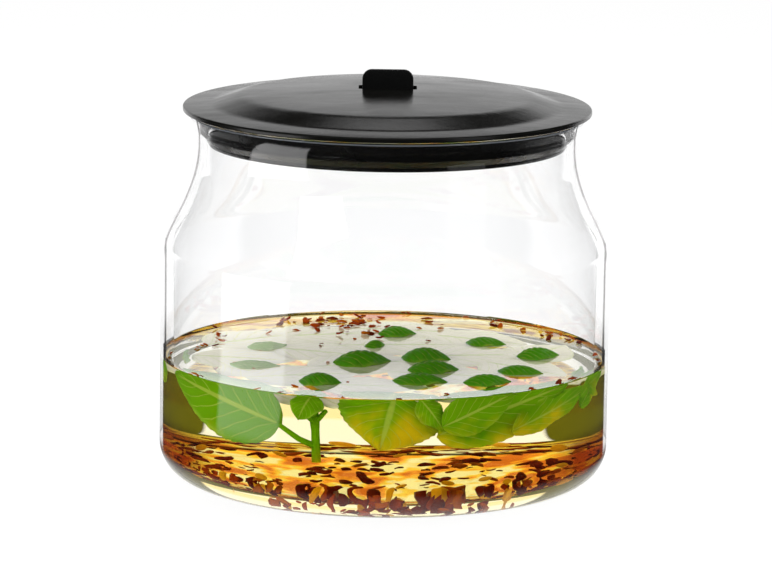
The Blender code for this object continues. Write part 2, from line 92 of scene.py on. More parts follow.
class Value:
    """A socket of a shader tree. Python's operators on it add Math nodes."""

    def __init__(self, maker, socket):
        self.maker = maker
        self.socket = socket

    __add__ = math_method("ADD")
    __radd__ = math_method("ADD", reflected=True)
    __sub__ = math_method("SUBTRACT")
    __rsub__ = math_method("SUBTRACT", reflected=True)
    __mul__ = math_method("MULTIPLY")
    __rmul__ = math_method("MULTIPLY", reflected=True)
    __truediv__ = math_method("DIVIDE")
    __rtruediv__ = math_method("DIVIDE", reflected=True)
    __pow__ = math_method("POWER")
    __rpow__ = math_method("POWER", reflected=True)
    __abs__ = math_method("ABSOLUTE")
    fraction = math_method("FRACT")
    least = math_method("MINIMUM")
    most = math_method("MAXIMUM")

    def step(self, low, high):
        """0 below low and 1 above high, with a smooth rise between them."""
        inputs = {"Value": self, "From Min": low, "From Max": high}
        return self.maker.node("ShaderNodeMapRange", {"interpolation_type": "SMOOTHSTEP"}, inputs)

    def within(self, low, rise, fall, high):
        """1 from rise to fall, and 0 below low and above high."""
        return self.step(low, rise) * (1.0 - self.step(fall, high))


class Maker:
    """Adds nodes to one tree."""

    def __init__(self, tree):
        self.tree = tree

    def node(self, kind, settings=None, inputs=None, output=0):
        """Adds a node, sets it up, fills its sockets with values or links, and gives an output."""
        node = self.tree.nodes.new(kind)
        for name, value in (settings or {}).items():
            if name == "stops":
                self.set_stops(node.color_ramp, value)
            else:
                setattr(node, name, value)
        for name, value in (inputs or {}).items():
            socket = node.inputs[name]
            if isinstance(value, Value):
                self.tree.links.new(value.socket, socket)
            else:
                socket.default_value = value
        return Value(self, node.outputs[output])

    def math(self, operation, *values):
        return self.node("ShaderNodeMath", {"operation": operation}, dict(enumerate(values)))

    @staticmethod
    def set_stops(ramp, stops):
        while len(ramp.elements) < len(stops):
            ramp.elements.new(1.0)
        for element, (place, color) in zip(ramp.elements, stops):
            element.position = place
            element.color = (*color, 1.0)

    def output(self, value, name):
        """Output of the same node by another name."""
        return Value(self, value.socket.node.outputs[name])

    def join(self, value, kind, name):
        """Links a value into an output node of the tree."""
        node = next((n for n in self.tree.nodes if n.bl_idname == kind), None)
        node = node or self.tree.nodes.new(kind)
        self.tree.links.new(value.socket, node.inputs[name])

    def mix(self, factor, first, second):
        """Mix of two colours."""
        first, second = [c if isinstance(c, Value) else (*c, 1.0) for c in (first, second)]
        inputs = {0: factor, 6: first, 7: second}
        return self.node("ShaderNodeMix", {"data_type": "RGBA"}, inputs, output=2)

    def ramp(self, factor, stops):
        return self.node("ShaderNodeValToRGB", {"stops": stops}, {0: factor})

    def place(self, kind="Object"):
        return self.node("ShaderNodeTexCoord", output=kind)

    def parts(self, vector):
        """The three numbers of a vector."""
        x = self.node("ShaderNodeSeparateXYZ", None, {0: vector})
        return x, self.output(x, "Y"), self.output(x, "Z")

    def noise(self, vector, scale, detail=2.0, roughness=0.5):
        inputs = {"Vector": vector, "Scale": scale, "Detail": detail, "Roughness": roughness}
        return self.node("ShaderNodeTexNoise", None, inputs)

    def stretched(self, vector, scale, turn=(0, 0, 0)):
        return self.node("ShaderNodeMapping", None, {"Vector": vector, "Scale": scale, "Rotation": turn})

    def facing(self):
        """0 where a surface faces the viewer and 1 at its outline."""
        return self.node("ShaderNodeLayerWeight", None, {"Blend": 0.5}, "Facing")

    def leaving(self):
        """1 where a ray leaves a piece through this face."""
        return self.node("ShaderNodeNewGeometry", output="Backfacing")

    def mark(self, name):
        """What a mesh stores under a name."""
        return self.node("ShaderNodeAttribute", {"attribute_name": name}, output="Fac")

    def bump(self, height, distance, strength, normal=None):
        inputs = {"Height": height, "Distance": distance, "Strength": strength}
        if normal is not None:
            inputs["Normal"] = normal
        return self.node("ShaderNodeBump", None, inputs)

    def shader(self, kind, **inputs):
        """A shader node. An underscore in the name of an input stands for a space."""
        named = {}
        for name, value in inputs.items():
            named[name.replace("_", " ")] = (*value, 1.0) if isinstance(value, tuple) else value
        return self.node(f"ShaderNode{kind}", None, named)

    def blend(self, factor, first, second):
        """Mix of two shaders."""
        return self.node("ShaderNodeMixShader", None, {0: factor, 1: first, 2: second})

    def ray(self, *kinds):
        """1 for rays of these kinds."""
        path = self.node("ShaderNodeLightPath")
        total = self.output(path, kinds[0])
        for kind in kinds[1:]:
            total = total.most(self.output(path, kind))
        return total

    def rays(self):
        """1 for each kind of sharp ray.

        The kinds are straight from the camera, seen through glass, mirrored deep inside and mirrored.
        """
        sharp = 1.0 - self.ray("Diffuse Depth").least(1.0)
        crossed = self.ray("Transmission Depth")
        bounced = sharp * self.ray("Glossy Depth").least(1.0)
        deep = bounced * (crossed - 2.0).most(0.0).least(1.0)
        through = sharp * crossed.least(1.0) * (1.0 - bounced)
        return self.ray("Is Camera Ray"), through, deep, bounced - deep


class Finish(Maker):
    """A new material of the jar."""

    def __init__(self, name):
        self.material = bpy.data.materials.new(name)
        self.material.use_nodes = True
        self.material.node_tree.nodes.clear()
        super().__init__(self.material.node_tree)

    def surface(self, shader):
        self.join(shader, "ShaderNodeOutputMaterial", "Surface")
        return self.material

    def clear(self, color, ior, tint, **more):
        """Clear shader that shadow and bounced rays pass straight through, with a tint."""
        clear = self.shader("BsdfPrincipled", Base_Color=color, Roughness=0.0, IOR=ior,
                            Transmission_Weight=1.0, **more)
        plain = self.ray("Is Shadow Ray", "Is Diffuse Ray")
        return self.blend(plain, clear, self.shader("BsdfTransparent", Color=tint))


def distance(x, y):
    return (x * x + y * y) ** 0.5


# Finishes

DRY_GLASS = (0.985, 0.987, 0.99)
# Painted shade: the dark line along the glass's outline and at the top of the rim.
PAINTED_EDGE_SHADE = (0.10, 0.085, 0.09)
# Painted highlight: colour that the glass rim gives off, though it is no lamp.
PAINTED_RIM_HIGHLIGHT = (0.105, 0.115, 0.13)
FRONT_GOLD = (1.0, 0.82, 0.36)
# Painted shade: darker red towards the outline, low on the wall below the oil.
SIDE_SHADE_RED = (0.15, 0.030, 0.0001)
OUTLINE = (0.764, 0.780, 0.797, 0.812)
THIN_SHARE = 0.84


def glass_finish(look, level):
    """Clear glass with a painted highlight that glows at its rim.

    Its outline takes a painted dark line, and painted shade darkens the top of the rim. Below the level
    of the oil its lowest band takes a gold tint, with painted darker red shade towards the outline.
    """
    paint = Finish("clear glass")
    _, _, height = paint.parts(paint.place())
    top, corner_top = look.height, look.base_corner
    facing = paint.facing()
    outer = 1.0 - paint.mark("inside")
    edge_shade = facing.within(*OUTLINE) * outer
    above = height.step(level - 0.0001, level + 0.0001)
    edge = 0.71 - outer * 0.05
    thin_dry = facing.step(edge - 0.006, edge + 0.006) * (1.0 - edge_shade) * THIN_SHARE
    thin_wet = facing.step(0.825, 0.845) * height.step(0.010, 0.016) * 0.75
    corner = height.within(0.0002, 0.0010, corner_top, 0.0140) * outer * paint.leaving()
    alpha = 1.0 - thin_dry * above - thin_wet.most(corner * 0.92) * (1.0 - above)
    # Painted shade: a dark line at the outline, and shade at the top of the rim under the lid.
    dry = paint.mix(edge_shade.most(height.step(top - 0.0006, top - 0.0004) * 0.7), DRY_GLASS, PAINTED_EDGE_SHADE)
    under = (corner_top - height).most(0.0)
    # A gold tint that turns to painted darker red shade towards the outline.
    gold = paint.mix((facing - under * 46.0).step(0.30, 0.52), FRONT_GOLD, SIDE_SHADE_RED)
    wet = paint.mix(height.step(0.020, 0.027), gold, WHITE)
    color = paint.mix(height.step(0.004, 0.009), dry, paint.mix(above, wet, dry))
    # Painted highlight: a thin band just under the top of the rim glows.
    rim = height.within(top - 0.0012, top - 0.0009, top - 0.0007, top - 0.0005)
    rim_highlight_glow = paint.mix(rim * outer, (0.0, 0.0, 0.0), PAINTED_RIM_HIGHLIGHT)
    return paint.surface(paint.clear(color, 1.5, NEARLY_CLEAR, Alpha=alpha, Emission_Color=rim_highlight_glow,
                                     Emission_Strength=1.0))


# Chilli red that brightens to a painted glow of pale gold light between the flakes.
CHILLI_RED_AND_PAINTED_GLOW = ((0.41, (0.50, 0.035, 0.0005)), (0.475, (0.98, 0.16, 0.001)),
         (0.55, (1.0, 0.56, 0.008)), (0.61, (1.0, 0.94, 0.34)))
# Painted shade: streaked darker red and gold at the edge of the floor.
EDGE_SHADE_RED = (0.10, 0.014, 0.0002)
EDGE_SHADE_GOLD = (0.66, 0.36, 0.004)
# Painted shade: dark olive towards the sides of the oil.
SIDE_SHADE_OLIVE = (0.015, 0.014, 0.00002)


def wet_finish(look):
    """The face where glass and oil touch.

    Low down it takes the red of the chilli, with a painted glow between the flakes and painted shade
    at the floor's edge. Towards the sides, painted dark olive shade stands for the depth of the oil.
    """
    paint = Finish("oil-wet glass")
    place = paint.place()
    x, y, height = paint.parts(place)
    # Chilli red with a painted glow between the flakes.
    glow = paint.ramp(paint.noise(paint.stretched(place, (1.0, 0.45, 1.0)), 120.0), CHILLI_RED_AND_PAINTED_GLOW)
    lines = paint.noise(paint.stretched(place, (0.25, 1.0, 1.0)), 420.0, 2.0, 0.6)
    # Painted shade at the floor's edge, in streaks.
    deep = paint.mix(lines.step(0.44, 0.56), EDGE_SHADE_RED, EDGE_SHADE_GOLD)
    ground = paint.mix(distance(x, y).step(0.0560, 0.0660), glow, deep)
    corner_top = look.floor + look.inner_corner
    lean = ((corner_top - height) / look.inner_corner).most(0.0).least(0.93)
    aside = 1.0 - (1.0 - paint.facing() - lean * 0.127) / (1.0 - lean * lean) ** 0.5
    # Painted shade towards the sides. It starts a little sooner on the right (+X).
    side_shade = (aside + x.step(-0.005, 0.005) * 0.033).step(0.158, 0.170)
    side_shade = side_shade * (1.0 - aside.step(0.27, 0.285) * (1.0 - lean.step(0.0, 0.1)))
    color = paint.mix(height.step(0.0049, 0.0053), ground, paint.mix(side_shade, WHITE, SIDE_SHADE_OLIVE))
    color = paint.mix(paint.leaving(), color, WHITE)
    return paint.surface(paint.clear(color, 1.02, WHITE))


def oil_finish(look):
    """Golden oil: a bright upper face, and sides that touch the glass and so don't show."""
    paint = Finish("golden herb oil")
    x, y, _ = paint.parts(paint.place())
    # Painted shade: an amber ring on the oil's face at the meniscus.
    meniscus_shade = paint.mix(distance(x, y).step(0.0756, 0.0776), WHITE, (0.46, 0.26, 0.03))
    top = paint.clear(meniscus_shade, 1.47, NEARLY_CLEAR, Coat_Weight=1.0 - y.step(-0.070, 0.0), Coat_IOR=1.9,
                      Coat_Roughness=0.0)
    side = paint.shader("BsdfTransparent", Color=WHITE)
    depth = paint.shader("VolumeAbsorption", Color=tuple(look.color), Density=look.depth)
    paint.join(depth, "ShaderNodeOutputMaterial", "Volume")
    return paint.surface(paint.blend(paint.mark("open_face"), side, top))


def black_finish(name, color, roughness, grain, smudges, ior=1.42):
    """Moulded black plastic or rubber, with a fine grain and wiped smudges."""
    paint = Finish(name)
    place = paint.place()
    fine = paint.noise(place, 2600.0, 3.0, 0.6)
    wiped = paint.noise(paint.stretched(place, (1.0, 2.6, 1.0), (0, 0, 0.35)), 38.0, 4.0, 0.55)
    cloud = paint.noise(place, 21.0, 3.0)
    shade = (wiped - 0.5) * smudges + (cloud - 0.5) * smudges
    pale = tuple(c * 2.0 + 0.002 for c in color)
    base = paint.mix((shade + 0.3).step(0.0, 1.0), color, pale)
    normal = paint.bump(wiped, 0.0006, 0.25, paint.bump(fine, 0.00006, grain))
    return paint.surface(paint.shader("BsdfPrincipled", Base_Color=base, Roughness=roughness + shade * 0.55,
                                      Normal=normal, IOR=ior))


def leaf_finish(name, upper, under, vein, shine, ior, glow, low=0.0):
    """Basil leaf: paler veins, a darker blade between them and light that glows through.

    Below the height low the blade turns to its second tone.
    """
    paint = Finish(name)
    along, across, _ = paint.parts(paint.node("ShaderNodeUVMap"))
    side = abs(across - 0.5) * 2.0
    place = paint.place()
    row = along * SIDE_VEINS - side * VEIN_SLANT + (paint.noise(place, 130.0, 3.0) - 0.5) * 0.5
    ridge = abs(row.fraction() - 0.5) * 2.0
    side_vein = ridge.step(0.86, 0.985) * (1.0 - side.step(0.8, 1.0))
    veins = side_vein.most(1.0 - side.step(0.035, 0.085))
    patch = paint.noise(place, 48.0, 3.0, 0.6)
    _, _, height = paint.parts(place)
    second = (patch + (low - height) * 24.0).step(0.38, 0.72)
    blade = paint.mix(second, upper, under)
    blade = paint.mix(side.step(0.80, 1.0) * patch.step(0.3, 0.7) * 0.6, blade, vein)
    color = paint.mix(veins * 0.8, blade, vein)
    normal = paint.bump(paint.noise(place, 1500.0), 0.00008, 0.5, paint.bump(veins, 0.0003, 0.6))
    skin = paint.shader("BsdfPrincipled", Base_Color=color, Roughness=shine + patch * 0.12, Normal=normal,
                        IOR=ior)
    first, older = [paint.shader("BsdfTranslucent", Color=tuple(tone)) for tone in (upper, under)]
    return paint.surface(paint.blend(glow, skin, paint.blend(second, first, older)))


def flake_finish(name, stops, glow):
    """Dry chilli or seed soaked in oil. Each piece takes its own shade."""
    paint = Finish(name)
    spots = paint.noise(paint.place(), 420.0, 3.0, 0.65)
    color = paint.ramp(paint.mark("shade") * 0.75 + spots * 0.35, stops)
    skin = paint.shader("BsdfPrincipled", Base_Color=color, Roughness=0.28 + spots * 0.2,
                        Normal=paint.bump(spots, 0.0003, 0.7), IOR=1.08)
    _, middle = stops[(len(stops) - 1) // 2]
    return paint.surface(paint.blend(glow, skin, paint.shader("BsdfTranslucent", Color=middle)))


# Geometry Nodes

class NodeForm(Maker):
    """A Geometry Nodes tree with named inputs."""

    def __init__(self, name, inputs):
        self.group = bpy.data.node_groups.new(name, "GeometryNodeTree")
        interface = self.group.interface
        interface.new_socket("Geometry", in_out="INPUT", socket_type="NodeSocketGeometry")
        for label, (kind, value) in inputs.items():
            socket = interface.new_socket(label, in_out="INPUT", socket_type=f"NodeSocket{kind}")
            if value is not None:
                socket.default_value = value
        interface.new_socket("Geometry", in_out="OUTPUT", socket_type="NodeSocketGeometry")
        super().__init__(self.group)
        self.start = self.group.nodes.new("NodeGroupInput")

    def given(self, label):
        return Value(self, self.start.outputs[label])

    def form(self, kind, inputs=None, **settings):
        return self.node(f"GeometryNode{kind}", settings, inputs)

    def vector(self, **parts):
        return self.node("ShaderNodeCombineXYZ", None, parts)

    def chance(self, low, high, seed):
        """A random number for each point."""
        inputs = {2: low, 3: high, "Seed": seed}
        return self.node("FunctionNodeRandomValue", {"data_type": "FLOAT"}, inputs, output=1)

    def finish(self, geometry):
        whole = self.form("RealizeInstances", {0: geometry})
        dressed = self.form("SetMaterial", {"Geometry": whole, "Material": self.given("Material")})
        self.join(dressed, "NodeGroupOutput", "Geometry")
        return self.group


def turned_form():
    """Turns a profile of edges, with its radius on X and its height on Z, round the jar's axis."""
    tree = NodeForm("Turned Form", {"Steps": ("Int", 180), "Material": ("Material", None)})
    profile, steps = tree.given("Geometry"), tree.given("Steps")
    size = tree.form("AttributeDomainSize", {0: profile}, component="MESH")
    grid = tree.form("MeshGrid", {"Vertices X": steps + 1, "Vertices Y": size})
    index = tree.form("InputIndex")
    column = tree.math("FLOOR", (index + 0.5) / size)
    source = {"Geometry": profile, "Value": tree.form("InputPosition"), "Index": index - column * size}
    point = tree.form("SampleIndex", source, data_type="FLOAT_VECTOR", domain="POINT")
    radius, _, height = tree.parts(point)
    angle = column * math.tau / steps
    spot = tree.vector(X=radius * tree.math("COSINE", angle), Y=radius * tree.math("SINE", angle), Z=height)
    moved = tree.form("SetPosition", {"Geometry": grid, "Position": spot})
    closed = tree.form("MergeByDistance", {"Geometry": moved, "Distance": 1e-6})
    return tree.finish(tree.form("SetShadeSmooth", {"Geometry": closed}))


def scatter_form():
    """Strews copies of a few shapes over a patch of ground, each turned and sized by chance."""
    tree = NodeForm("Strewn Form", {
        "Shapes": ("Collection", None), "Density": ("Float", 1000.0), "Smallest": ("Float", 0.6),
        "Largest": ("Float", 1.4), "Tilt": ("Float", 0.5), "Round the Wall": ("Float", 0.0),
        "Pile": ("Float", 0.0), "Seed": ("Int", 1), "Material": ("Material", None),
    })
    seed, tilt, wall = [tree.given(label) for label in ("Seed", "Tilt", "Round the Wall")]
    spread = {"Mesh": tree.given("Geometry"), "Density": tree.given("Density"), "Seed": seed}
    points = tree.form("DistributePointsOnFaces", spread, distribute_method="RANDOM")
    rise = tree.vector(Z=tree.chance(0.0, tree.given("Pile"), seed + 5))
    points = tree.form("SetPosition", {"Geometry": points, "Offset": rise})
    source = {"Collection": tree.given("Shapes"), "Separate Children": True, "Reset Children": True}
    shapes = tree.form("CollectionInfo", source, transform_space="ORIGINAL")
    lean, roll = [tree.chance(-1.0, 1.0, seed + k) * tilt for k in (1, 2)]
    x, y, _ = tree.parts(tree.form("InputPosition"))
    any_way = tree.chance(-math.pi, math.pi, seed + 3)
    along_wall = tree.math("ARCTAN2", y, x) + math.pi / 2 + any_way * 0.12
    facing = tree.vector(X=lean, Y=roll, Z=any_way * (1.0 - wall) + along_wall * wall)
    size = tree.chance(tree.given("Smallest"), tree.given("Largest"), seed + 4)
    copies = tree.form("InstanceOnPoints", {
        "Points": points, "Instance": shapes, "Pick Instance": True, "Rotation": facing, "Scale": size})
    shade = {"Geometry": copies, "Name": "shade", "Value": tree.chance(0.0, 1.0, seed + 6)}
    return tree.finish(tree.form("StoreNamedAttribute", shade, data_type="FLOAT", domain="INSTANCE"))


# Meshes and objects

def mesh_of(bm, name):
    """Closes a bmesh into a new mesh."""
    mesh = bpy.data.meshes.new(name)
    bm.to_mesh(mesh)
    bm.free()
    return mesh


def new_object(name, mesh):
    obj = bpy.data.objects.new(name, mesh)
    bpy.context.scene.collection.objects.link(obj)
    return obj


def evaluated_mesh(obj):
    """Plain mesh of an object with its modifiers applied."""
    bpy.context.view_layer.update()
    depsgraph = bpy.context.evaluated_depsgraph_get()
    return bpy.data.meshes.new_from_object(obj.evaluated_get(depsgraph))


def grown(obj, group, inputs):
    """Plain mesh of what a node tree makes of an object, which is then removed."""
    modifier = obj.modifiers.new(group.name, "NODES")
    modifier.node_group = group
    sockets = {s.name: s.identifier for s in group.interface.items_tree if s.in_out == "INPUT"}
    for label, value in inputs.items():
        modifier[sockets[label]] = value
    mesh = evaluated_mesh(obj)
    bpy.data.objects.remove(obj)
    mesh.materials.clear()
    mesh.materials.append(inputs["Material"])
    mesh.polygons.foreach_set("material_index", [0] * len(mesh.polygons))
    return mesh


def turned(name, profile, material, steps, sharp):
    """A turned piece from (radius, height) points. A closed profile repeats its first point."""
    mesh = bpy.data.meshes.new(f"{name} profile")
    mesh.from_pydata([(r, 0.0, z) for r, z in profile], [(i, i + 1) for i in range(len(profile) - 1)], [])
    group = bpy.data.node_groups.get("Turned Form") or turned_form()
    made = grown(new_object(f"{name} profile", mesh), group, {"Steps": steps, "Material": material})
    made.set_sharp_from_angle(angle=math.radians(sharp))
    bm = bmesh.new()
    bm.from_mesh(made)
    bmesh.ops.recalc_face_normals(bm, faces=bm.faces)
    bm.to_mesh(made)
    bm.free()
    made.name = name
    return new_object(name, made)


def combine(target, tools, operation):
    """Cuts shapes out of a piece or joins them to it, applies the result and removes them."""
    for tool in tools:
        modifier = target.modifiers.new(tool.name, "BOOLEAN")
        modifier.operation = operation
        modifier.solver = "EXACT"
        modifier.object = tool
    mesh = evaluated_mesh(target)
    target.modifiers.clear()
    target.data = mesh
    for tool in tools:
        bpy.data.objects.remove(tool)


def settle(piece, body, slot, *nodes):
    """Says which body a piece moves with and the solids that it stands for. Its finish, slot, is not used.
    """
    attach(piece, body)
    if nodes:
        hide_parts(*nodes)


# Profiles

def bezier(p0, p1, p2, p3, steps):
    points = []
    for i in range(steps):
        t = i / steps
        s = 1.0 - t
        weights = (s * s * s, 3 * s * s * t, 3 * s * t * t, t * t * t)
        points.append(tuple(sum(w * p[k] for w, p in zip(weights, (p0, p1, p2, p3))) for k in (0, 1)))
    return points


def arc(centre, radius, start, end, steps):
    angles = [math.radians(start + (end - start) * i / steps) for i in range(steps + 1)]
    return [(centre[0] + radius * math.cos(a), centre[1] + radius * math.sin(a)) for a in angles]


def inset(points, depth):
    """The same curve moved towards the jar's axis, square to itself."""
    moved = []
    for i, (r, z) in enumerate(points):
        before = Vector(points[max(i - 1, 0)])
        after = Vector(points[min(i + 1, len(points) - 1)])
        along = (after - before).normalized()
        moved.append((r - along.y * depth, z + along.x * depth))
    return moved


def rounded(corners, steps=6):
    """Profile from (radius, height, rounding) corners."""
    points = []
    for i, (r, z, rounding) in enumerate(corners):
        if rounding == 0.0:
            points.append((r, z))
            continue
        corner = Vector((r, z))
        before = Vector(corners[i - 1][:2]) - corner
        after = Vector(corners[(i + 1) % len(corners)][:2]) - corner
        half = before.angle(after) / 2
        reach = min(rounding / math.tan(half), 0.45 * before.length, 0.45 * after.length)
        radius = reach * math.tan(half)
        centre = corner + (before.normalized() + after.normalized()).normalized() * radius / math.sin(half)
        start = corner + before.normalized() * reach - centre
        turn = start.angle_signed(corner + after.normalized() * reach - centre)
        for k in range(steps + 1):
            angle = -turn * k / steps
            c, s = math.cos(angle), math.sin(angle)
            points.append((centre.x + start.x * c - start.y * s, centre.y + start.x * s + start.y * c))
    return points


# Sizes and colours

def length(name, description, default):
    return bpy.props.FloatProperty(
        name=name, description=description, unit="LENGTH", default=default, precision=4)


def tint(name, description, default):
    return bpy.props.FloatVectorProperty(
        name=name, description=description, subtype="COLOR", min=0.0, max=1.0, default=default)


def amount(name, description, default, **more):
    return bpy.props.FloatProperty(name=name, description=description, default=default, min=0.0, **more)


class JarGlassLook(bpy.types.PropertyGroup):
    radius: length("Radius", "Outer radius of the straight wall", GLASS_HIGH.x)
    height: length("Height", "Height of the rim above the table", GLASS_HIGH.z)
    wall: length("Wall", "Thickness of the glass wall", 0.0015)
    floor: length("Floor", "Height of the inside floor above the table", 0.0048)
    base_corner: length("Base Corner", "Radius of the outer corner at the base", 0.0125)
    inner_corner: length("Inner Corner", "Radius of the inner corner at the floor", 0.0105)
    shoulder: length("Shoulder", "Height at which the wall starts to draw in", 0.0820)
    neck_radius: length("Neck Radius", "Outer radius of the neck", 0.0683)
    neck_height: length("Neck Height", "Height of the narrowest place", 0.1200)
    rim_radius: length("Rim Radius", "Outer radius of the fire-polished rim", 0.0709)


class JarLidLook(bpy.types.PropertyGroup):
    seat: length("Seat", "Height of the face that rests on the rim", GLASS_HIGH.z + 0.0003)
    flange_radius: length("Flange Radius", "Radius of the flat edge", LID_HIGH.x)
    cover_color: tint("Cover", "Colour of the cover", (0.003, 0.003, 0.0025))
    ring_color: tint("Ring", "Colour of the seal ring", (0.002, 0.002, 0.0018))
    tab_color: tint("Tab", "Colour of the pull tab", (0.002, 0.002, 0.002))
    roughness: amount("Roughness", "Roughness of the cover", 0.17, max=1.0, subtype="FACTOR")


class JarOilLook(bpy.types.PropertyGroup):
    level: length("Level", "Height of the oil's surface above the table", 0.0432)
    meniscus: length("Meniscus", "How far the oil climbs the glass", 0.0009)
    color: tint("Colour", "Colour that light takes on its way through the oil", (1.0, 0.86, 0.24))
    depth: amount("Depth of Colour", "How fast the oil takes up light, for each metre", 4.6)


class JarFlakeLook(bpy.types.PropertyGroup):
    bed_density: amount("Bed Density", "Flakes for each square metre of the floor", 34000.0)
    seed_density: amount("Seed Density", "Seeds for each square metre of the floor", 4200.0)
    seed: bpy.props.IntProperty(name="Chance", description="Start of the random places", default=7)


class JarLeafLook(bpy.types.PropertyGroup):
    upper: tint("Upper Face", "Green of the leaves on the oil", (0.10, 0.40, 0.002))
    sunk: tint("Sunk Leaf", "Green of the leaves in the oil", (0.205, 0.47, 0.001))
    vein: tint("Vein", "Pale green of the veins", (0.62, 0.74, 0.08))
    ripe: tint("Ripe", "Yellow of the older parts of the sunk leaves", (0.78, 0.60, 0.004))
    # Painted sheen: the pale tone stands for the oil's milky surface reflected over the leaves below it.
    pale: tint("Pale", "Pale tone of the soft leaves just below the surface", (1.0, 0.94, 0.68))


class JarStageLook(bpy.types.PropertyGroup):
    background: tint("Background", "Colour of the floor and backdrop", WHITE)
    backlight: amount("Backlight", "Brightness of the backdrop where glass stands before it", 1.15)
    strip: amount("Strip", "Brightness of the strip that the front of the glass mirrors", 1.9)
    fill: amount("Fill", "Strength of the soft light from all round", 0.95)


# Stage

CAMERA_LENS = 221.9
CAMERA_DISTANCE = 1.700
CAMERA_TILT = math.radians(10.83)
CAMERA_ROLL = math.radians(0.8)
CAMERA_AIM = Vector((0.0, 0.0, 0.070))
CAMERA_SHIFT = Vector((0.00036, 0.0, -0.0029))
FLOOR_RADIUS = 6.0

# Name, place, point that it faces, width and height, power and the rays that see it
LAMPS = (
    ("strip at the right", (0.30, -0.30, 0.27), (0.04, -0.07, 0.27), (0.17, 0.56), 0.16, ("gloss",)),
    ("soft top", (0.10, 0.25, 1.0), (0.0, 0.0, 0.08), (0.9, 0.7), 8.0, ("body", "through")),
    ("soft front", (-0.75, -0.95, 0.65), (0.0, 0.0, 0.05), (0.6, 0.6), 7.0, ("body", "through")),
)


def make_world(look):
    """Soft light all round. Glass mirrors a bright back between two dark cards."""
    world = bpy.data.worlds.new("soft studio")
    bpy.context.scene.world = world
    world.use_nodes = True
    world.node_tree.nodes.clear()
    sky = Maker(world.node_tree)
    x, y, z = sky.parts(sky.place("Generated"))
    seen, through, deep, mirrored = sky.rays()
    cards = sky.math("ARCTAN2", abs(x), y).within(0.60, 0.70, 1.34, 1.50)
    back = y.step(-0.10, 0.45) * (1.0 - z.step(0.34, 0.46) * 0.97)
    middle = 1.0 - abs(x).step(0.22, 0.45)
    behind = back * (1.30 - middle * 0.60 + x * 0.4) * (1.0 - cards * 0.97)
    high = (1.0 - abs(x).step(0.06, 0.14)) * z.within(0.62, 0.69, 0.80, 0.90) * y.step(0.2, 0.5)
    front = (1.0 - y.step(-0.45, -0.10)) * z.step(0.10, 0.45) * 0.30
    low = 1.0 - z.step(0.25, 0.70) * 0.5
    plain = (1.0 - seen - through - deep - mirrored) * (y.step(-0.5, 0.8) * 0.8 + 0.5) * low * look.fill
    strength = seen + (through + deep * back) * look.backlight
    strength = strength + mirrored * (behind + high * 1.25 + front) + 0.01 + plain
    light = sky.shader("Background", Color=tuple(look.background), Strength=strength)
    sky.join(light, "ShaderNodeOutputWorld", "Surface")
    world.cycles.sampling_method = "NONE"


def make_floor(look):
    """White floor. Mirrored in glass it is dark at the sides, with a strip of light in front."""
    bm = bmesh.new()
    bmesh.ops.create_circle(bm, cap_ends=True, segments=96, radius=FLOOR_RADIUS)
    floor = new_object("floor", mesh_of(bm, "floor"))
    paint = Finish("white floor")
    x, y, _ = paint.parts(paint.place())
    turn = paint.math("ARCTAN2", abs(x), y)
    away = distance(x, y)
    cards = (turn.step(0.30, 0.42) * (1.0 - away.step(0.26, 0.36))).most(turn.step(0.85, 1.0))
    back = y.step(-0.14, 0.04) * (1.0 - cards * 0.97)
    strip = 1.0 - y.step(-0.052, -0.042)
    strip = strip * (y - x * 0.93).step(-0.017, -0.007) * away.step(0.170, 0.200)
    under = 1.0 - away.step(0.078, 0.10)
    seen, through, deep, mirrored = paint.rays()
    lit = y.step(-0.02, 0.05).most(under)
    shown = seen * 1.05 + (through + deep * lit) * look.backlight
    shown = shown + mirrored * (back * 0.98 + 0.02 + strip * look.strip).most(under)
    color = tuple(look.background)
    skin = paint.shader("BsdfDiffuse", Color=color)
    white = paint.shader("Emission", Color=color, Strength=shown)
    bright = (seen + through) * 0.86 + deep + mirrored
    floor.data.materials.append(paint.surface(paint.blend(bright, skin, white)))


def add_lamp(name, place, target, size, power, shows):
    """Rectangular soft lamp that faces a point. shows names the rays that see it."""
    lamp = bpy.data.lights.new(name, "AREA")
    lamp.shape = "RECTANGLE"
    lamp.size, lamp.size_y = size
    lamp.energy = power
    obj = new_object(name, lamp)
    obj.location = place
    obj.rotation_euler = (Vector(target) - Vector(place)).to_track_quat("-Z", "Y").to_euler()
    obj.visible_camera = False
    obj.visible_transmission = "through" in shows
    obj.visible_glossy = "gloss" in shows
    obj.visible_diffuse = "body" in shows


def make_camera():
    camera = new_object("camera", bpy.data.cameras.new("camera"))
    camera.data.lens = CAMERA_LENS
    back = Vector((0.0, -math.cos(CAMERA_TILT), math.sin(CAMERA_TILT)))
    camera.location = CAMERA_AIM + back * CAMERA_DISTANCE
    gaze = CAMERA_AIM + CAMERA_SHIFT - camera.location
    turn = gaze.to_track_quat("-Z", "Y").to_matrix() @ Matrix.Rotation(CAMERA_ROLL, 3, "Z")
    camera.rotation_euler = turn.to_euler()
    bpy.context.scene.camera = camera


class JAR_OT_stage(bpy.types.Operator):
    """Sets up the white floor, the backdrop, the soft lamps and the camera"""

    bl_idname = "jar.stage"
    bl_label = "Set the Stage"

    def execute(self, context):
        look = context.scene.jar_stage
        context.scene.view_settings.view_transform = "Standard"
        make_camera()
        make_world(look)
        make_floor(look)
        for lamp in LAMPS:
            add_lamp(*lamp)
        return {"FINISHED"}


# Glass

PUSH_UP = 0.0012
FOOT_RING = 0.008
PUSH_UP_SLOPE = 0.004
SHOULDER_LOW_PULL = 0.0085
SHOULDER_HIGH_PULL = 0.018
FLARE_LOW_PULL = 0.0088
FLARE_HIGH_PULL = 0.0008


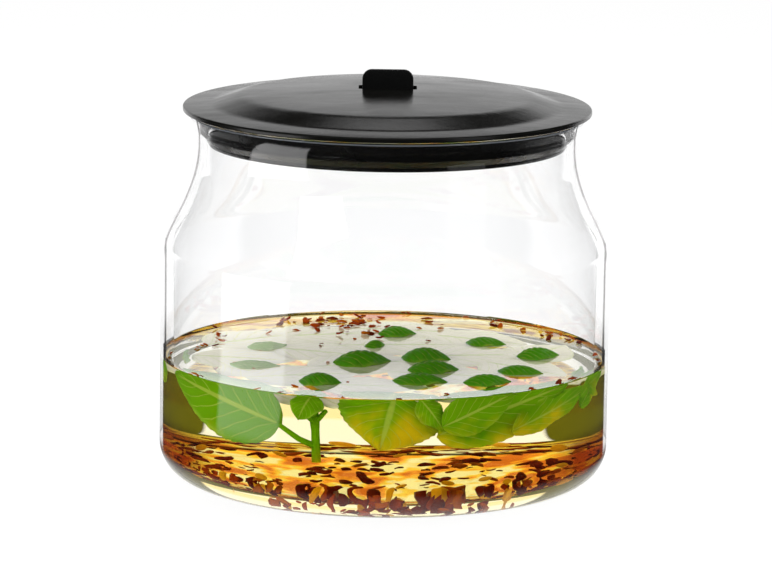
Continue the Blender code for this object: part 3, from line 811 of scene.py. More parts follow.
def glass_side(look):
    """Outer side from the base corner to the rim: a straight wall, the shoulder and the flare."""
    wall, neck, lip = look.radius, look.neck_radius, look.rim_radius
    shoulder = bezier((wall, look.shoulder), (wall, look.shoulder + SHOULDER_LOW_PULL),
                      (neck, look.neck_height - SHOULDER_HIGH_PULL), (neck, look.neck_height), 40)
    edge = look.height - look.wall / 2
    flare = bezier((neck, look.neck_height), (neck, look.neck_height + FLARE_LOW_PULL),
                   (lip, edge - FLARE_HIGH_PULL), (lip, edge), 24)
    straight = [(wall, look.base_corner + (look.shoulder - look.base_corner) * i / 24) for i in range(24)]
    return straight + shoulder + flare + [(lip, edge)]


def inner_side(look):
    side = inset(glass_side(look), look.wall)
    side[0] = (look.radius - look.wall, look.floor + look.inner_corner)
    side[-1] = (look.rim_radius - look.wall, side[-1][1])
    return [p for i, p in enumerate(side) if i == 0 or p[1] > side[0][1]]


def inner_floor(look, gap=0.0):
    centre = (look.radius - look.wall - look.inner_corner, look.floor + look.inner_corner)
    return [(0.0, look.floor + gap)] + arc(centre, look.inner_corner - gap, -90, 0, 20)


def glass_profile(look):
    foot = look.radius - look.base_corner
    profile = [(0.0, PUSH_UP), (foot - FOOT_RING - PUSH_UP_SLOPE, PUSH_UP), (foot - FOOT_RING, 0.0)]
    profile += arc((foot, look.base_corner), look.base_corner, -90, 0, 24)[:-1]
    profile += glass_side(look)
    lip = (look.rim_radius - look.wall / 2, look.height - look.wall / 2)
    profile += arc(lip, look.wall / 2, 0, 180, 12)[1:-1]
    return profile + inner_side(look)[::-1] + inner_floor(look)[::-1][1:]


class JAR_OT_glass(bpy.types.Operator):
    """Turns the glass body, with one finish for dry glass and one where oil wets it"""

    bl_idname = "jar.glass"
    bl_label = "Turn the Glass"

    def execute(self, context):
        look = context.scene.jar_glass
        level = context.scene.jar_oil.level + context.scene.jar_oil.meniscus
        glass = turned("clear_glass_jar", glass_profile(look), glass_finish(look, level), 240, 35.0)
        glass.data.materials.append(wet_finish(look))
        inside = glass.data.attributes.new("inside", "FLOAT", "FACE")
        for face in glass.data.polygons:
            middle = face.center
            inward = face.normal.x * middle.x + face.normal.y * middle.y < 0.0
            low = look.floor - 0.0002 < middle.z < level
            face.material_index = int(low and (inward or face.normal.z > 0.5))
            inside.data[face.index].value = float(inward)
        settle(glass, "jar", "clear_glass", "glass_jar")
        return {"FINISHED"}


# Lid. Heights count from the seat, the face that rests on the rim.

CROWN_TOP = 0.00805
CROWN_RADIUS = 0.0520
CROWN_FOOT = 0.00575
SLOPE_RADIUS = 0.0620
SLOPE_FOOT = 0.00245
FLANGE_THICKNESS = 0.00175
COVER_THICKNESS = 0.0022
SKIRT_RADIUS = 0.0618
SKIRT_INNER = 0.0598
SKIRT_DEPTH = 0.01035
LIP_REACH = 0.0017
LIP_DEPTH = 0.01145
BOSS_RADIUS = 0.0152
BOSS_HEIGHT = 0.00285
CROWN_INNER_FOOT = 0.00355
UNDERSIDE_RADIUS = 0.0260

TAB_AXIS = 0.00675
TAB_WIDTH = 0.0181
TAB_THICKNESS = 0.0022
TAB_CORNER = 0.0034
TAB_EASING = 0.00045
BARREL_SHOULDER = 0.0010
TRUNNION_RADIUS = 0.0007
TRUNNION_REACH = 0.0025
SOCKET_RADIUS = 0.0010
SOCKET_HALF = 0.01185
RECESS_HALF = 0.01035
RECESS_FRONT = -0.0015
RECESS_BACK = 0.0085
RECESS_DEPTH = 0.0014
RECESS_ROUNDING = 0.0013
SCOOP_RADIUS = 0.005
SCOOP_PLACE = 0.0091
SCOOP_LIFT = 0.003

RING_INNER = 0.0621
RING_OUTER = 0.0668


def crown_height(radius):
    """Height of the domed crown, or of the straight slope outside it."""
    if radius <= CROWN_RADIUS:
        return CROWN_TOP - (CROWN_TOP - CROWN_FOOT) * (radius / CROWN_RADIUS) ** 2
    slope = (SLOPE_FOOT - CROWN_FOOT) * (radius - CROWN_RADIUS) / (SLOPE_RADIUS - CROWN_RADIUS)
    return CROWN_FOOT + slope


def cover_corners(look):
    skirt, inner, lip = SKIRT_RADIUS, SKIRT_INNER, SKIRT_RADIUS + LIP_REACH
    dome = [(CROWN_RADIUS * k / 24, crown_height(CROWN_RADIUS * k / 24), 0.0) for k in range(22)]
    return dome + [
        (CROWN_RADIUS, CROWN_FOOT, 0.0180), (SLOPE_RADIUS, SLOPE_FOOT, 0.0120),
        (look.flange_radius, FLANGE_THICKNESS, 0.0006), (look.flange_radius, 0.0, 0.0005),
        (skirt, 0.0, 0.0), (skirt, -SKIRT_DEPTH, 0.0003), (lip, -SKIRT_DEPTH, 0.0003),
        (lip, -LIP_DEPTH, 0.0003), (inner, -LIP_DEPTH, 0.0003),
        (inner, crown_height(inner) - COVER_THICKNESS, 0.0010), (CROWN_RADIUS, CROWN_INNER_FOOT, 0.0),
        (UNDERSIDE_RADIUS, crown_height(UNDERSIDE_RADIUS) - COVER_THICKNESS, 0.0),
        (BOSS_RADIUS, crown_height(BOSS_RADIUS) - COVER_THICKNESS, 0.0008),
        (BOSS_RADIUS, BOSS_HEIGHT, 0.0006), (0.0, BOSS_HEIGHT, 0.0),
    ]


def ring_corners():
    """The seal ring: an upper band, a groove and a thin lower lip."""
    inner, outer = RING_INNER, RING_OUTER
    return [
        (inner, -0.0003, 0.0), (inner + 0.0025, -0.0003, 0.0004), (outer, -0.0019, 0.0005),
        (outer, -0.00445, 0.0003), (inner + 0.0029, -0.00655, 0.0003), (outer, -0.0070, 0.0001),
        (outer, -0.0074, 0.0001), (inner + 0.0018, -0.01005, 0.0003), (inner, -0.01005, 0.0),
    ]


def box_cutter(name, low, high, rounding):
    bm = bmesh.new()
    bmesh.ops.create_cube(bm, size=1.0)
    size = Vector(high) - Vector(low)
    bmesh.ops.scale(bm, vec=size, verts=bm.verts)
    bmesh.ops.translate(bm, vec=(Vector(high) + Vector(low)) / 2, verts=bm.verts)
    upright = [e for e in bm.edges if abs(e.verts[0].co.z - e.verts[1].co.z) > size.z / 2]
    bmesh.ops.bevel(bm, geom=upright, offset=rounding, segments=6, affect="EDGES", profile=0.5)
    return new_object(name, mesh_of(bm, name))


def ball(name, radius, place):
    bm = bmesh.new()
    bmesh.ops.create_uvsphere(bm, u_segments=48, v_segments=32, radius=radius)
    bmesh.ops.translate(bm, vec=place, verts=bm.verts)
    return new_object(name, mesh_of(bm, name))


def rod(name, radius, half, height):
    """A round bar along X, half as long to each side of the middle."""
    bm = bmesh.new()
    bmesh.ops.create_cone(bm, cap_ends=True, segments=40, radius1=radius, radius2=radius, depth=2 * half)
    bmesh.ops.rotate(bm, cent=(0, 0, 0), matrix=Matrix.Rotation(math.pi / 2, 3, "Y"), verts=bm.verts)
    bmesh.ops.translate(bm, vec=(0, 0, height), verts=bm.verts)
    return new_object(name, mesh_of(bm, name))


class JAR_OT_lid(bpy.types.Operator):
    """Turns the lid's cover and its seal ring, and cuts the recess for the tab"""

    bl_idname = "jar.lid"
    bl_label = "Make the Lid"

    def execute(self, context):
        look = context.scene.jar_lid
        seat = look.seat
        axis = seat + TAB_AXIS
        black = black_finish("matt black moulding", look.cover_color, look.roughness, 0.5, 0.55)
        profile = [(r, z + seat) for r, z in rounded(cover_corners(look))]
        cover = turned("lid_cover_moulding", profile, black, 192, 28.0)
        recess = box_cutter("recess", (-RECESS_HALF, RECESS_FRONT, axis - RECESS_DEPTH),
                            (RECESS_HALF, RECESS_BACK, axis + 0.02), RECESS_ROUNDING)
        scoop = ball("scoop", SCOOP_RADIUS, (0, SCOOP_PLACE, seat + crown_height(0.0081) + SCOOP_LIFT))
        combine(cover, [recess, scoop, rod("sockets", SOCKET_RADIUS, SOCKET_HALF, axis)], "DIFFERENCE")
        cover.data.set_sharp_from_angle(angle=math.radians(28.0))
        settle(cover, "lid", "lid_black", "lid_cover")

        rubber = black_finish("black silicone ring", look.ring_color, 0.26, 0.4, 0.35, 1.36)
        corners = ring_corners()
        profile = [(r, z + seat) for r, z in rounded(corners) + [corners[0][:2]]]
        settle(turned("seal_ring_silicone", profile, rubber, 192, 28.0), "lid", "seal_silicone", "seal_ring")
        return {"FINISHED"}


class JAR_OT_tab(bpy.types.Operator):
    """Makes the small pull tab with its eased edges"""

    bl_idname = "jar.tab"
    bl_label = "Make the Pull Tab"

    def execute(self, context):
        look = context.scene.jar_lid
        half, thick, corner = TAB_WIDTH / 2, TAB_THICKNESS / 2, TAB_CORNER
        axis = Vector((0.0, 0.0, look.seat + TAB_AXIS))
        top = TAB_HIGH.z - axis.z - corner
        plan = [(-half, -thick), (half, -thick)]
        plan += arc((half - corner, top), corner, 0, 90, 10) + arc((corner - half, top), corner, 90, 180, 10)
        bm = bmesh.new()
        face = bm.faces.new([bm.verts.new((x, -thick, z)) for x, z in plan])
        extruded = bmesh.ops.extrude_face_region(bm, geom=[face])
        verts = [v for v in extruded["geom"] if isinstance(v, bmesh.types.BMVert)]
        bmesh.ops.translate(bm, verts=verts, vec=(0, TAB_THICKNESS, 0))
        bmesh.ops.recalc_face_normals(bm, faces=bm.faces)
        rims = [e for e in bm.edges if abs(e.verts[0].co.y - e.verts[1].co.y) < 1e-6]
        bmesh.ops.bevel(bm, geom=rims, offset=TAB_EASING, segments=4, affect="EDGES", profile=0.5)
        bmesh.ops.translate(bm, verts=bm.verts, vec=axis)
        tab = new_object("pull_tab_silicone", mesh_of(bm, "pull_tab_silicone"))
        barrel = rod("barrel", thick, half + BARREL_SHOULDER, axis.z)
        combine(tab, [barrel, rod("trunnions", TRUNNION_RADIUS, half + TRUNNION_REACH, axis.z)], "UNION")
        tab.data.shade_smooth()
        tab.data.set_sharp_from_angle(angle=math.radians(30.0))
        tab.data.materials.clear()
        tab.data.materials.append(black_finish("pull tab black", look.tab_color, 0.5, 0.4, 0.3))
        settle(tab, "tab", "tab_silicone", "pull_tab")
        return {"FINISHED"}


# Oil

OIL_GAP = 0.0001
MENISCUS_WIDTH = 0.0034
MENISCUS_STEPS = 14


class JAR_OT_oil(bpy.types.Operator):
    """Pours the oil, with its edge drawn up the glass"""

    bl_idname = "jar.oil"
    bl_label = "Pour the Oil"

    def execute(self, context):
        look, glass = context.scene.jar_oil, context.scene.jar_glass
        wall = glass.radius - glass.wall - OIL_GAP
        shares = [i / MENISCUS_STEPS for i in range(MENISCUS_STEPS + 1)]
        bend = [(wall - MENISCUS_WIDTH * s, look.level + look.meniscus * (1 - s) ** 2.6) for s in shares]
        side = inner_floor(glass, OIL_GAP)
        foot, top = side[-1][1], bend[0][1]
        straight = [(wall, foot + (top - foot) * k / 10) for k in range(1, 10)]
        profile = side + straight + bend + [(0.0, look.level)]
        oil = turned("herb_oil", profile, oil_finish(look), 240, 25.0)
        face = oil.data.attributes.new("open_face", "FLOAT", "FACE")
        for polygon in oil.data.polygons:
            upper = polygon.normal.z > 0.3 and polygon.center.z > look.level - 0.0002
            face.data[polygon.index].value = float(upper)
        settle(oil, "jar", "golden_oil", "infused_oil")
        return {"FINISHED"}


# Chilli flakes and seeds

CHIP_SIDES = 9
CHIP_THICKNESS = 0.0006
CHIP_LENGTH = 0.0042
LONG_CHIP_LENGTH = 0.0064
PATCH_STEPS = 48
BED_LIFT = 0.0009
BED_MIDDLE = 0.048
BED_EDGE = (0.046, 0.0630)
SEED_BELT = (0.030, 0.0630)
RIM_BELT = 0.0012
RIM_GAP = 0.0016
RED_STOPS = ((0.0, (0.050, 0.007, 0.002)), (0.40, (0.32, 0.035, 0.003)),
             (0.68, (0.75, 0.11, 0.004)), (1.0, (0.95, 0.32, 0.012)))
SEED_STOPS = ((0.0, (0.60, 0.30, 0.012)), (0.5, (0.95, 0.62, 0.04)), (1.0, (1.0, 0.80, 0.16)))

# Name, inner and outer radius, first and last angle of each patch of flakes on the oil, then its
# density, smallest and largest size, tilt, pile and chance
AFLOAT = (
    ("flakes_clump", 0.028, 0.0730, 92, 122, 26000.0, 0.40, 1.55, 0.40, 0.0006, 61),
    ("flakes_right", 0.068, 0.0745, 8, 62, 15000.0, 0.50, 1.20, 0.40, 0.0006, 71),
    ("flakes_left", 0.061, 0.0700, 150, 176, 38000.0, 0.35, 0.90, 0.40, 0.0006, 81),
    ("flakes_back", 0.048, 0.0740, 58, 132, 9000.0, 0.40, 1.20, 0.30, 0.0005, 31),
    ("flakes_loose", 0.010, 0.0700, 0, 360, 1500.0, 0.30, 0.90, 0.25, 0.0004, 41),
)


def chip(name, rng, length, width, curl):
    """A curled chip with a ragged edge."""
    bm = bmesh.new()
    rings = []
    for level in (1, -1):
        ring = []
        for k in range(CHIP_SIDES):
            angle = math.tau * k / CHIP_SIDES
            reach = rng.uniform(0.62, 1.0)
            x, y = length / 2 * reach * math.cos(angle), width / 2 * reach * math.sin(angle)
            z = curl * (x / length) ** 2 * 4 + rng.uniform(-0.1, 0.1) * CHIP_THICKNESS
            ring.append(bm.verts.new((x, y, z + level * CHIP_THICKNESS / 2 * 0.6)))
        rings.append(ring)
    upper, lower = rings
    top = bm.verts.new((0, 0, CHIP_THICKNESS * 0.7))
    bottom = bm.verts.new((0, 0, -CHIP_THICKNESS * 0.4))
    for k in range(CHIP_SIDES):
        n = (k + 1) % CHIP_SIDES
        bm.faces.new((upper[k], upper[n], top))
        bm.faces.new((lower[n], lower[k], bottom))
        bm.faces.new((lower[k], lower[n], upper[n], upper[k]))
    bmesh.ops.recalc_face_normals(bm, faces=bm.faces)
    return loose_shape(name, bm)


def seed_shape(name, size):
    """A flat oval seed."""
    bm = bmesh.new()
    bmesh.ops.create_uvsphere(bm, u_segments=10, v_segments=6, radius=size / 2)
    bmesh.ops.scale(bm, vec=(1.0, 0.60, 0.30), verts=bm.verts)
    return loose_shape(name, bm)


def loose_shape(name, bm):
    mesh = mesh_of(bm, name)
    mesh.shade_smooth()
    return bpy.data.objects.new(name, mesh)


def shape_box(name, shapes):
    box = bpy.data.collections.new(name)
    for shape in shapes:
        box.objects.link(shape)
    return box


def patch(inner, outer, height, start=0, end=360):
    """A flat ring or part of one, to strew things on."""
    bm = bmesh.new()
    rows = []
    for i in range(PATCH_STEPS + 1):
        angle = math.radians(start + (end - start) * i / PATCH_STEPS)
        c, s = math.cos(angle), math.sin(angle)
        rows.append([bm.verts.new((radius * c, radius * s, height)) for radius in (inner, outer)])
    for (a, b), (c, d) in zip(rows, rows[1:]):
        bm.faces.new((a, b, d, c))
    return new_object("patch", mesh_of(bm, "patch"))


def strewn(name, ground, shapes, material, density, smallest, largest, tilt, pile, seed, wall=0.0):
    """Copies of shapes on a patch of ground. With wall at 1 they lie along the glass."""
    group = bpy.data.node_groups.get("Strewn Form") or scatter_form()
    mesh = grown(ground, group, {
        "Shapes": shapes, "Material": material, "Density": density, "Smallest": smallest,
        "Largest": largest, "Tilt": tilt, "Pile": pile, "Seed": seed, "Round the Wall": wall})
    mesh.name = name
    return new_object(name, mesh)


def joined(name, pieces):
    """One mesh from several."""
    bm = bmesh.new()
    materials = []
    for piece in pieces:
        start = len(bm.faces)
        bm.from_mesh(piece.data)
        bm.faces.ensure_lookup_table()
        for face in bm.faces[start:]:
            face.material_index += len(materials)
        materials += list(piece.data.materials)
        bpy.data.objects.remove(piece)
    mesh = mesh_of(bm, name)
    for material in materials:
        mesh.materials.append(material)
    return new_object(name, mesh)


class JAR_OT_flakes(bpy.types.Operator):
    """Strews the chilli flakes and seeds on the glass floor and on the oil"""

    bl_idname = "jar.flakes"
    bl_label = "Strew the Chilli"

    def execute(self, context):
        look, glass, oil = context.scene.jar_flakes, context.scene.jar_glass, context.scene.jar_oil
        rng = random.Random(look.seed)
        chips = shape_box("chips", [
            chip(f"chip_{k}", rng, CHIP_LENGTH, rng.uniform(0.0020, 0.0034),
                 rng.uniform(-0.0005, 0.0008)) for k in range(6)])
        long_chips = shape_box("long_chips", [
            chip(f"long_chip_{k}", rng, LONG_CHIP_LENGTH, rng.uniform(0.0008, 0.0013),
                 rng.uniform(-0.0004, 0.0006)) for k in range(6)])
        seeds = shape_box("seeds", [seed_shape("seed_wide", 0.0044), seed_shape("seed_small", 0.0034)])
        red = flake_finish("chilli flakes", RED_STOPS, 0.45)
        yellow = flake_finish("chilli seeds", SEED_STOPS, 0.62)
        low = glass.floor + BED_LIFT
        bed = [
            strewn("flakes_middle", patch(0.0, BED_MIDDLE, low), chips, red,
                   look.bed_density * 0.55, 0.45, 1.7, 0.34, 0.0008, look.seed),
            strewn("flakes_edge", patch(*BED_EDGE, low), long_chips, red,
                   look.bed_density * 2.2, 0.3, 1.0, 0.15, 0.0012, look.seed + 11, 1.0),
            strewn("seeds_floor", patch(*SEED_BELT, low), seeds, yellow,
                   look.seed_density, 0.8, 1.15, 0.6, 0.0024, look.seed + 21, 1.0),
        ]
        settle(joined("chilli_bed_flakes", bed), "jar", "chilli_flakes", "chilli_bed")

        top = oil.level + 0.0001
        rim = glass.radius - glass.wall - RIM_GAP
        afloat = []
        for name, inner, outer, start, end, *spread, chance in AFLOAT:
            ground = patch(inner, outer, top, start, end)
            afloat.append(strewn(name, ground, chips, red, *spread, look.seed + chance))
        afloat.append(strewn("flakes_rim", patch(rim - RIM_BELT, rim, top + 0.0004), chips, red,
                             42000.0, 0.4, 1.05, 0.5, 0.0004, look.seed + 51, 1.0))
        settle(joined("floating_flakes", afloat), "jar", "chilli_flakes")
        for box in (chips, long_chips, seeds):
            for shape in list(box.objects):
                bpy.data.objects.remove(shape)
            bpy.data.collections.remove(box)
        return {"FINISHED"}


# Leaves

SIDE_VEINS = 7.0
VEIN_SLANT = 2.4
LEAF_THICKNESS = 0.00035
LEAF_ROWS = 44
LEAF_COLUMNS = 24
TOOTH_DEPTH = 0.018
TOOTH_BEAT = 78.0
CREASE_DEPTH = 0.022
CREASE_WIDTH = 0.07
PUFFS = 0.014
FLOATING_PUFFS = 0.045
STALK_SIDES = 12
STALK_MARK = (0.5, 0.3)
OUT_OF_REACH = 1.0
SUNK_DEPTH = 0.0006
FLOATING_DEPTH = 0.0003
VEILED_CROWN = 0.0015

# Middle, length, width, heading and height of the crown
FLOATING = (
    ((-0.0078, -0.0120), 0.0210, 0.0150, 12, 0.0038),
    ((-0.0033, 0.0166), 0.0085, 0.0060, 35, 0.0022),
    ((-0.0221, -0.0470), 0.0150, 0.0115, -8, 0.0030),
    ((0.0047, 0.0390), 0.0140, 0.0110, 5, 0.0026),
    ((0.0150, -0.0043), 0.0180, 0.0135, -10, 0.0036),
    ((0.0174, -0.0240), 0.0185, 0.0135, 8, 0.0030),
    ((0.0127, -0.0440), 0.0195, 0.0125, -5, 0.0026),
    ((0.0360, -0.0440), 0.0170, 0.0115, 10, 0.0026),
    ((0.0370, 0.0239), 0.0150, 0.0105, -12, 0.0020),
    ((0.0553, 0.0028), 0.0160, 0.0120, 15, 0.0028),
    ((0.0480, -0.0260), 0.0165, 0.0100, -15, 0.0022),
    ((-0.0423, 0.0130), 0.0150, 0.0110, 20, 0.0012),
    ((-0.0455, -0.0200), 0.0180, 0.0115, -6, 0.0010),
)

# Base, tip, the way that it faces, width, arch, dome and wave
HANGING = {
    "basil_leaf_middle": ((0.0040, -0.0635, 0.0440), (-0.0010, -0.0680, 0.0245), (0.0, -1.0, 0.20),
                          0.0340, 0.0020, 0.0045, 0.0012),
    "basil_leaf_right": ((0.0180, -0.0690, 0.0300), (0.0610, -0.0390, 0.0425), (0.48, -0.78, 0.40),
                         0.0205, 0.0035, 0.0015, 0.0012),
    "basil_leaf_far_right": ((0.0660, -0.0340, 0.0330), (0.0700, -0.0140, 0.0450),
                             (0.85, -0.45, 0.25), 0.0080, 0.0010, 0.0010, 0.0004),
    "basil_leaf_far_left": ((-0.0700, -0.0130, 0.0360), (-0.0710, 0.0060, 0.0448),
                            (-0.95, -0.20, 0.20), 0.0080, 0.0010, 0.0008, 0.0004),
}
SMALL_BASE = (0.0690, -0.0300, 0.0400)
SMALL_FACING = (0.85, -0.45, 0.25)
SMALL_BEND = (0.0006, 0.0006, 0.0003)
SMALL = (
    ((0.0120, -0.0670, 0.0425), (0.0200, -0.0690, 0.0320), (0.25, -0.90, 0.10),
     0.0090, 0.0022, 0.0030, 0.0012),
    ((0.0200, -0.0715, 0.0335), (0.0450, -0.0600, 0.0440), (0.30, -0.90, 0.20),
     0.0150, 0.0020, 0.0020, 0.0010),
    ((0.0430, -0.0610, 0.0300), (0.0700, -0.0300, 0.0400), (0.70, -0.70, 0.10),
     0.0110, 0.0020, 0.0035, 0.0016),
    (SMALL_BASE, (0.0740, -0.0180, 0.0425), SMALL_FACING, 0.0050, *SMALL_BEND),
    (SMALL_BASE, (0.0670, -0.0370, 0.0370), SMALL_FACING, 0.0045, *SMALL_BEND),
    (SMALL_BASE, (0.0735, -0.0240, 0.0350), SMALL_FACING, 0.0042, *SMALL_BEND),
)
SPRIG = (
    ((-0.0340, -0.0622, 0.0318), (-0.0700, -0.0260, 0.0415), (-0.60, -0.72, 0.30),
     0.0260, 0.0030, 0.0015, 0.0010),
    ((-0.0228, -0.0612, 0.0425), (-0.0285, -0.0680, 0.0345), (-0.30, -0.70, 0.60),
     0.0120, 0.0010, 0.0010, 0.0005),
)

# Across, along, depth below the surface, length, width and heading
SOFT = (
    (-0.0480, 0.0280, 0.0022, 0.0400, 0.0270, 35),
    (-0.0500, -0.0060, 0.0026, 0.0380, 0.0260, -12),
    (-0.0230, 0.0380, 0.0026, 0.0440, 0.0280, 15),
    (-0.0240, 0.0080, 0.0034, 0.0420, 0.0270, -20),
    (0.0080, 0.0480, 0.0024, 0.0420, 0.0260, -8),
    (0.0060, 0.0220, 0.0032, 0.0440, 0.0280, 5),
    (-0.0060, -0.0120, 0.0028, 0.0440, 0.0280, 20),
    (0.0340, 0.0330, 0.0028, 0.0400, 0.0260, -25),
    (0.0300, 0.0040, 0.0024, 0.0440, 0.0290, 8),
    (0.0570, 0.0120, 0.0030, 0.0320, 0.0230, 55),
    (0.0220, -0.0290, 0.0032, 0.0420, 0.0270, -10),
    (0.0500, -0.0180, 0.0026, 0.0360, 0.0240, -40),
    (-0.0280, -0.0330, 0.0030, 0.0420, 0.0270, 14),
    (-0.0050, -0.0500, 0.0026, 0.0400, 0.0230, -4),
    (-0.0460, -0.0280, 0.0034, 0.0280, 0.0180, -40),
)


def leaf_share(u):
    """Half width of an ovate leaf along its midrib, as a share of its greatest."""
    return math.sin(math.pi * min(max(u, 0.0), 1.0) ** 0.72) ** 0.8


def leaf_mesh(bm, base, tip, facing, width, arch, dome, wave, seed, ceiling, puffs):
    """A blade with a sunk midrib, puffed fields between its side veins and a waved edge.

    What would rise above the ceiling lies flat against it.
    """
    rng = random.Random(seed)
    base, tip = Vector(base), Vector(tip)
    along = (tip - base).normalized()
    side = along.cross(Vector(facing)).normalized()
    normal = side.cross(along)
    length = (tip - base).length
    phase = rng.uniform(0.0, math.tau)
    beat = rng.uniform(2.0, 3.2)
    uv = bm.loops.layers.uv.verify()

    def spot(u, v, level):
        share = leaf_share(u)
        tooth = 1.0 + TOOTH_DEPTH * math.sin(u * TOOTH_BEAT + 2.0 * v)
        half = width / 2 * max(share, 0.02) * tooth
        field = abs(math.sin(math.pi * (u * SIDE_VEINS - abs(v) * VEIN_SLANT)))
        puff = puffs * width * field ** 0.7 * (1.0 - abs(v) ** 3) * (0.2 + share)
        crease = -CREASE_DEPTH * width * math.exp(-(v / CREASE_WIDTH) ** 2)
        bow = 4.0 * arch * u * (1.0 - u)
        curl = dome * v * v * share
        edge = wave * abs(v) ** 2.5 * math.sin(beat * math.tau * u + phase + (1.6 if v > 0 else 0.0))
        skin = level * LEAF_THICKNESS / 2
        height = bow - curl + puff + crease + edge + skin
        point = base + along * (length * u) + side * (half * v) + normal * height
        point.z = min(point.z, ceiling + skin)
        return point

    us = [i / LEAF_ROWS for i in range(LEAF_ROWS + 1)]
    vs = [-1.0 + 2.0 * j / LEAF_COLUMNS for j in range(LEAF_COLUMNS + 1)]
    marks = {}
    skins = []
    for level in (1, -1):
        skins.append([[bm.verts.new(spot(u, v, level)) for v in vs] for u in us])
        for u, row in zip(us, skins[-1]):
            marks.update((vert, (u, v / 2 + 0.5)) for v, vert in zip(vs, row))
    top, bottom = skins

    def quad(*corners):
        face = bm.faces.new(corners)
        face.smooth = True
        for loop in face.loops:
            loop[uv].uv = marks[loop.vert]

    for i in range(LEAF_ROWS):
        for j in range(LEAF_COLUMNS):
            quad(top[i][j], top[i][j + 1], top[i + 1][j + 1], top[i + 1][j])
            quad(bottom[i][j], bottom[i + 1][j], bottom[i + 1][j + 1], bottom[i][j + 1])
    for i in range(LEAF_ROWS):
        for j in (0, LEAF_COLUMNS):
            quad(top[i][j], top[i + 1][j], bottom[i + 1][j], bottom[i][j])
    for j in range(LEAF_COLUMNS):
        for i in (0, LEAF_ROWS):
            quad(top[i][j], top[i][j + 1], bottom[i][j + 1], bottom[i][j])


def stalk_mesh(bm, points, radii):
    """A round stalk along a few points, with a slight groove."""
    uv = bm.loops.layers.uv.verify()
    path = [Vector(p) for p in points]
    rings = []
    for i, p in enumerate(path):
        along = (path[min(i + 1, len(path) - 1)] - path[max(i - 1, 0)]).normalized()
        out = along.cross(Vector((0.3, 1.0, 0.1))).normalized()
        back = along.cross(out)
        ring = []
        for k in range(STALK_SIDES):
            angle = math.tau * k / STALK_SIDES
            reach = radii[i] * (1.0 + 0.06 * math.cos(4 * angle))
            ring.append(bm.verts.new(p + (out * math.cos(angle) + back * math.sin(angle)) * reach))
        rings.append(ring)
    faces = []
    for a, b in zip(rings, rings[1:]):
        for k in range(STALK_SIDES):
            n = (k + 1) % STALK_SIDES
            faces.append(bm.faces.new((a[k], a[n], b[n], b[k])))
            faces[-1].smooth = True
    faces += [bm.faces.new(ring) for ring in (rings[0], rings[-1])]
    for face in faces:
        for loop in face.loops:
            loop[uv].uv = STALK_MARK


def stalks(top):
    """Points and radii of the stem, which ends at the height top, and of its side shoots."""
    fork = (-0.0221, -0.0618, 0.0330)
    shoot = (0.0010, 0.0009, 0.0007)
    return (
        (((-0.0215, -0.0625, 0.0190), (-0.0219, -0.0620, 0.0300), fork, (-0.0223, -0.0614, 0.0380),
          (-0.0225, -0.0610, top)), (0.0015, 0.00135, 0.0016, 0.0012, 0.0012)),
        (((-0.0216, -0.0622, 0.0245), (-0.0275, -0.0624, 0.0270), (-0.0352, -0.0622, 0.0322)),
         (0.0011, 0.0010, 0.0008)),
        ((fork, (-0.0240, -0.0630, 0.0345), (-0.0256, -0.0640, 0.0372)), shoot),
        ((fork, (-0.0205, -0.0630, 0.0350), (-0.0186, -0.0645, 0.0376)), shoot),
    )


def blades(leaves, seed, ceiling=OUT_OF_REACH, puffs=PUFFS):
    """Blades for a list of leaves. Each draws its wave from its own seed, which counts up."""
    bm = bmesh.new()
    for number, leaf in enumerate(leaves, start=seed):
        leaf_mesh(bm, *leaf, number, ceiling, puffs)
    return bm


def leaf_piece(bm, name, material):
    bmesh.ops.recalc_face_normals(bm, faces=bm.faces)
    mesh = mesh_of(bm, name)
    mesh.materials.append(material)
    return new_object(name, mesh)


def lying(x, y, z, length, heading):
    """Base and tip of a leaf that lies flat."""
    angle = math.radians(heading)
    half = Vector((math.cos(angle), math.sin(angle), 0.0)) * length / 2
    middle = Vector((x, y, z))
    return middle - half, middle + half


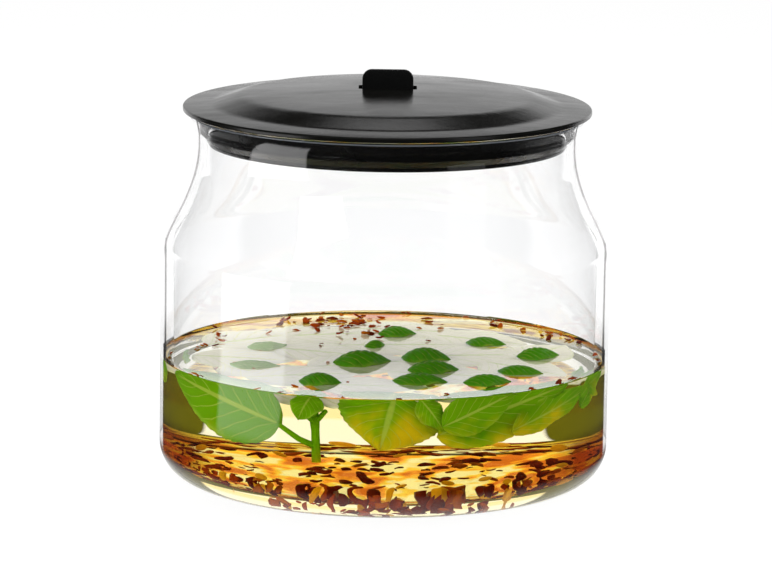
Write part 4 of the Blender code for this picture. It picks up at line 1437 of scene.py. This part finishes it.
class JAR_OT_leaves(bpy.types.Operator):
    """Lays basil leaves on the oil and hangs the sprig and the sunk leaves in it"""

    bl_idname = "jar.leaves"
    bl_label = "Place the Basil"

    def execute(self, context):
        look, oil = context.scene.jar_leaves, context.scene.jar_oil
        below = oil.level - SUNK_DEPTH
        self.lay_on_oil(look, oil.level, below)
        self.hang_in_oil(look, below)
        return {"FINISHED"}

    @staticmethod
    def lay_on_oil(look, level, below):
        """The soft leaves just under the surface and the leaves whose crowns break it."""
        dark = tuple(c * 0.45 for c in look.upper)
        afloat = leaf_finish("basil on the oil", look.upper, dark, look.vein, 0.30, 1.30, 0.35)
        # Painted sheen: near-white cream colour stands for the oil's surface reflecting white over these
        # leaves.
        soft = leaf_finish("soft basil", look.pale, look.pale, look.vein, 0.5, 1.04, 0.08)
        # Painted sheen: the pale grey-green stands for the oil's white surface reflected over these leaves.
        sheen_painted_basil = leaf_finish("basil under painted sheen", (0.46, 0.66, 0.26), (0.38, 0.58, 0.20), look.pale,
                             0.4, 1.10, 0.2)
        leaves = [(*lying(x, y, level - depth, length, heading), (0.1, -0.1, 1), width * 1.2,
                   0.0004, 0.0010, 0.0006) for x, y, depth, length, width, heading in SOFT]
        settle(leaf_piece(blades(leaves, 80, below), "soft_basil", soft), "jar", "basil_green")
        for index, (centre, length, width, heading, crown) in enumerate(FLOATING, start=1):
            ends = lying(*centre, level - FLOATING_DEPTH, length, heading)
            leaf = (*ends, (0, 0, 1), width * 1.12, crown * 0.9, crown, 0.0005)
            bm = blades([leaf], index, puffs=FLOATING_PUFFS)
            piece = leaf_piece(bm, f"floating_basil_{index}", sheen_painted_basil if crown < VEILED_CROWN else afloat)
            settle(piece, "jar", "basil_green", f"floating_leaf_{index}")

    @staticmethod
    def hang_in_oil(look, below):
        """The sunk leaves, small ones beside them, and the sprig with its stem."""
        sunk, sprig = [leaf_finish(name, look.sunk, look.ripe, look.vein, 0.5, 1.04, 0.42, low)
                       for name, low in (("basil in the oil", 0.0335), ("basil sprig", 0.0215))]
        for seed, (node, leaf) in enumerate(HANGING.items(), start=40):
            piece = leaf_piece(blades([leaf], seed, below), f"{node}_blade", sunk)
            settle(piece, "jar", "basil_green", node)
        small = leaf_piece(blades(SMALL, 100, below), "basil_small_leaves", sunk)
        settle(small, "jar", "basil_green")
        bm = blades(SPRIG, 61, below)
        for points, radii in stalks(below):
            stalk_mesh(bm, points, radii)
        settle(leaf_piece(bm, "basil_sprig_fine", sprig), "jar", "basil_green", "basil_sprig")


# Panel and registration

STEPS = (JAR_OT_stage, JAR_OT_glass, JAR_OT_lid, JAR_OT_tab, JAR_OT_oil, JAR_OT_flakes, JAR_OT_leaves)


class JAR_PT_panel(bpy.types.Panel):
    """Buttons for the jar's pieces and its stage"""

    bl_idname = "JAR_PT_panel"
    bl_label = "Preserving Jar"
    bl_space_type = "VIEW_3D"
    bl_region_type = "UI"
    bl_category = "Jar"

    def draw(self, context):
        for step in STEPS:
            self.layout.operator(step.bl_idname)


LOOKS = {
    "jar_stage": JarStageLook,
    "jar_glass": JarGlassLook,
    "jar_lid": JarLidLook,
    "jar_oil": JarOilLook,
    "jar_flakes": JarFlakeLook,
    "jar_leaves": JarLeafLook,
}


def register():
    for name, look in LOOKS.items():
        bpy.utils.register_class(look)
        setattr(bpy.types.Scene, name, bpy.props.PointerProperty(type=look))
    for step in STEPS:
        bpy.utils.register_class(step)
    bpy.utils.register_class(JAR_PT_panel)


def unregister():
    bpy.utils.unregister_class(JAR_PT_panel)
    for step in reversed(STEPS):
        bpy.utils.unregister_class(step)
    for name, look in LOOKS.items():
        delattr(bpy.types.Scene, name)
        bpy.utils.unregister_class(look)


def main():
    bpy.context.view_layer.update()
    register()
    for step in STEPS:
        group, name = step.bl_idname.split(".")
        getattr(getattr(bpy.ops, group), name)()
    bpy.context.view_layer.update()


if __name__ == "__main__":
    main()
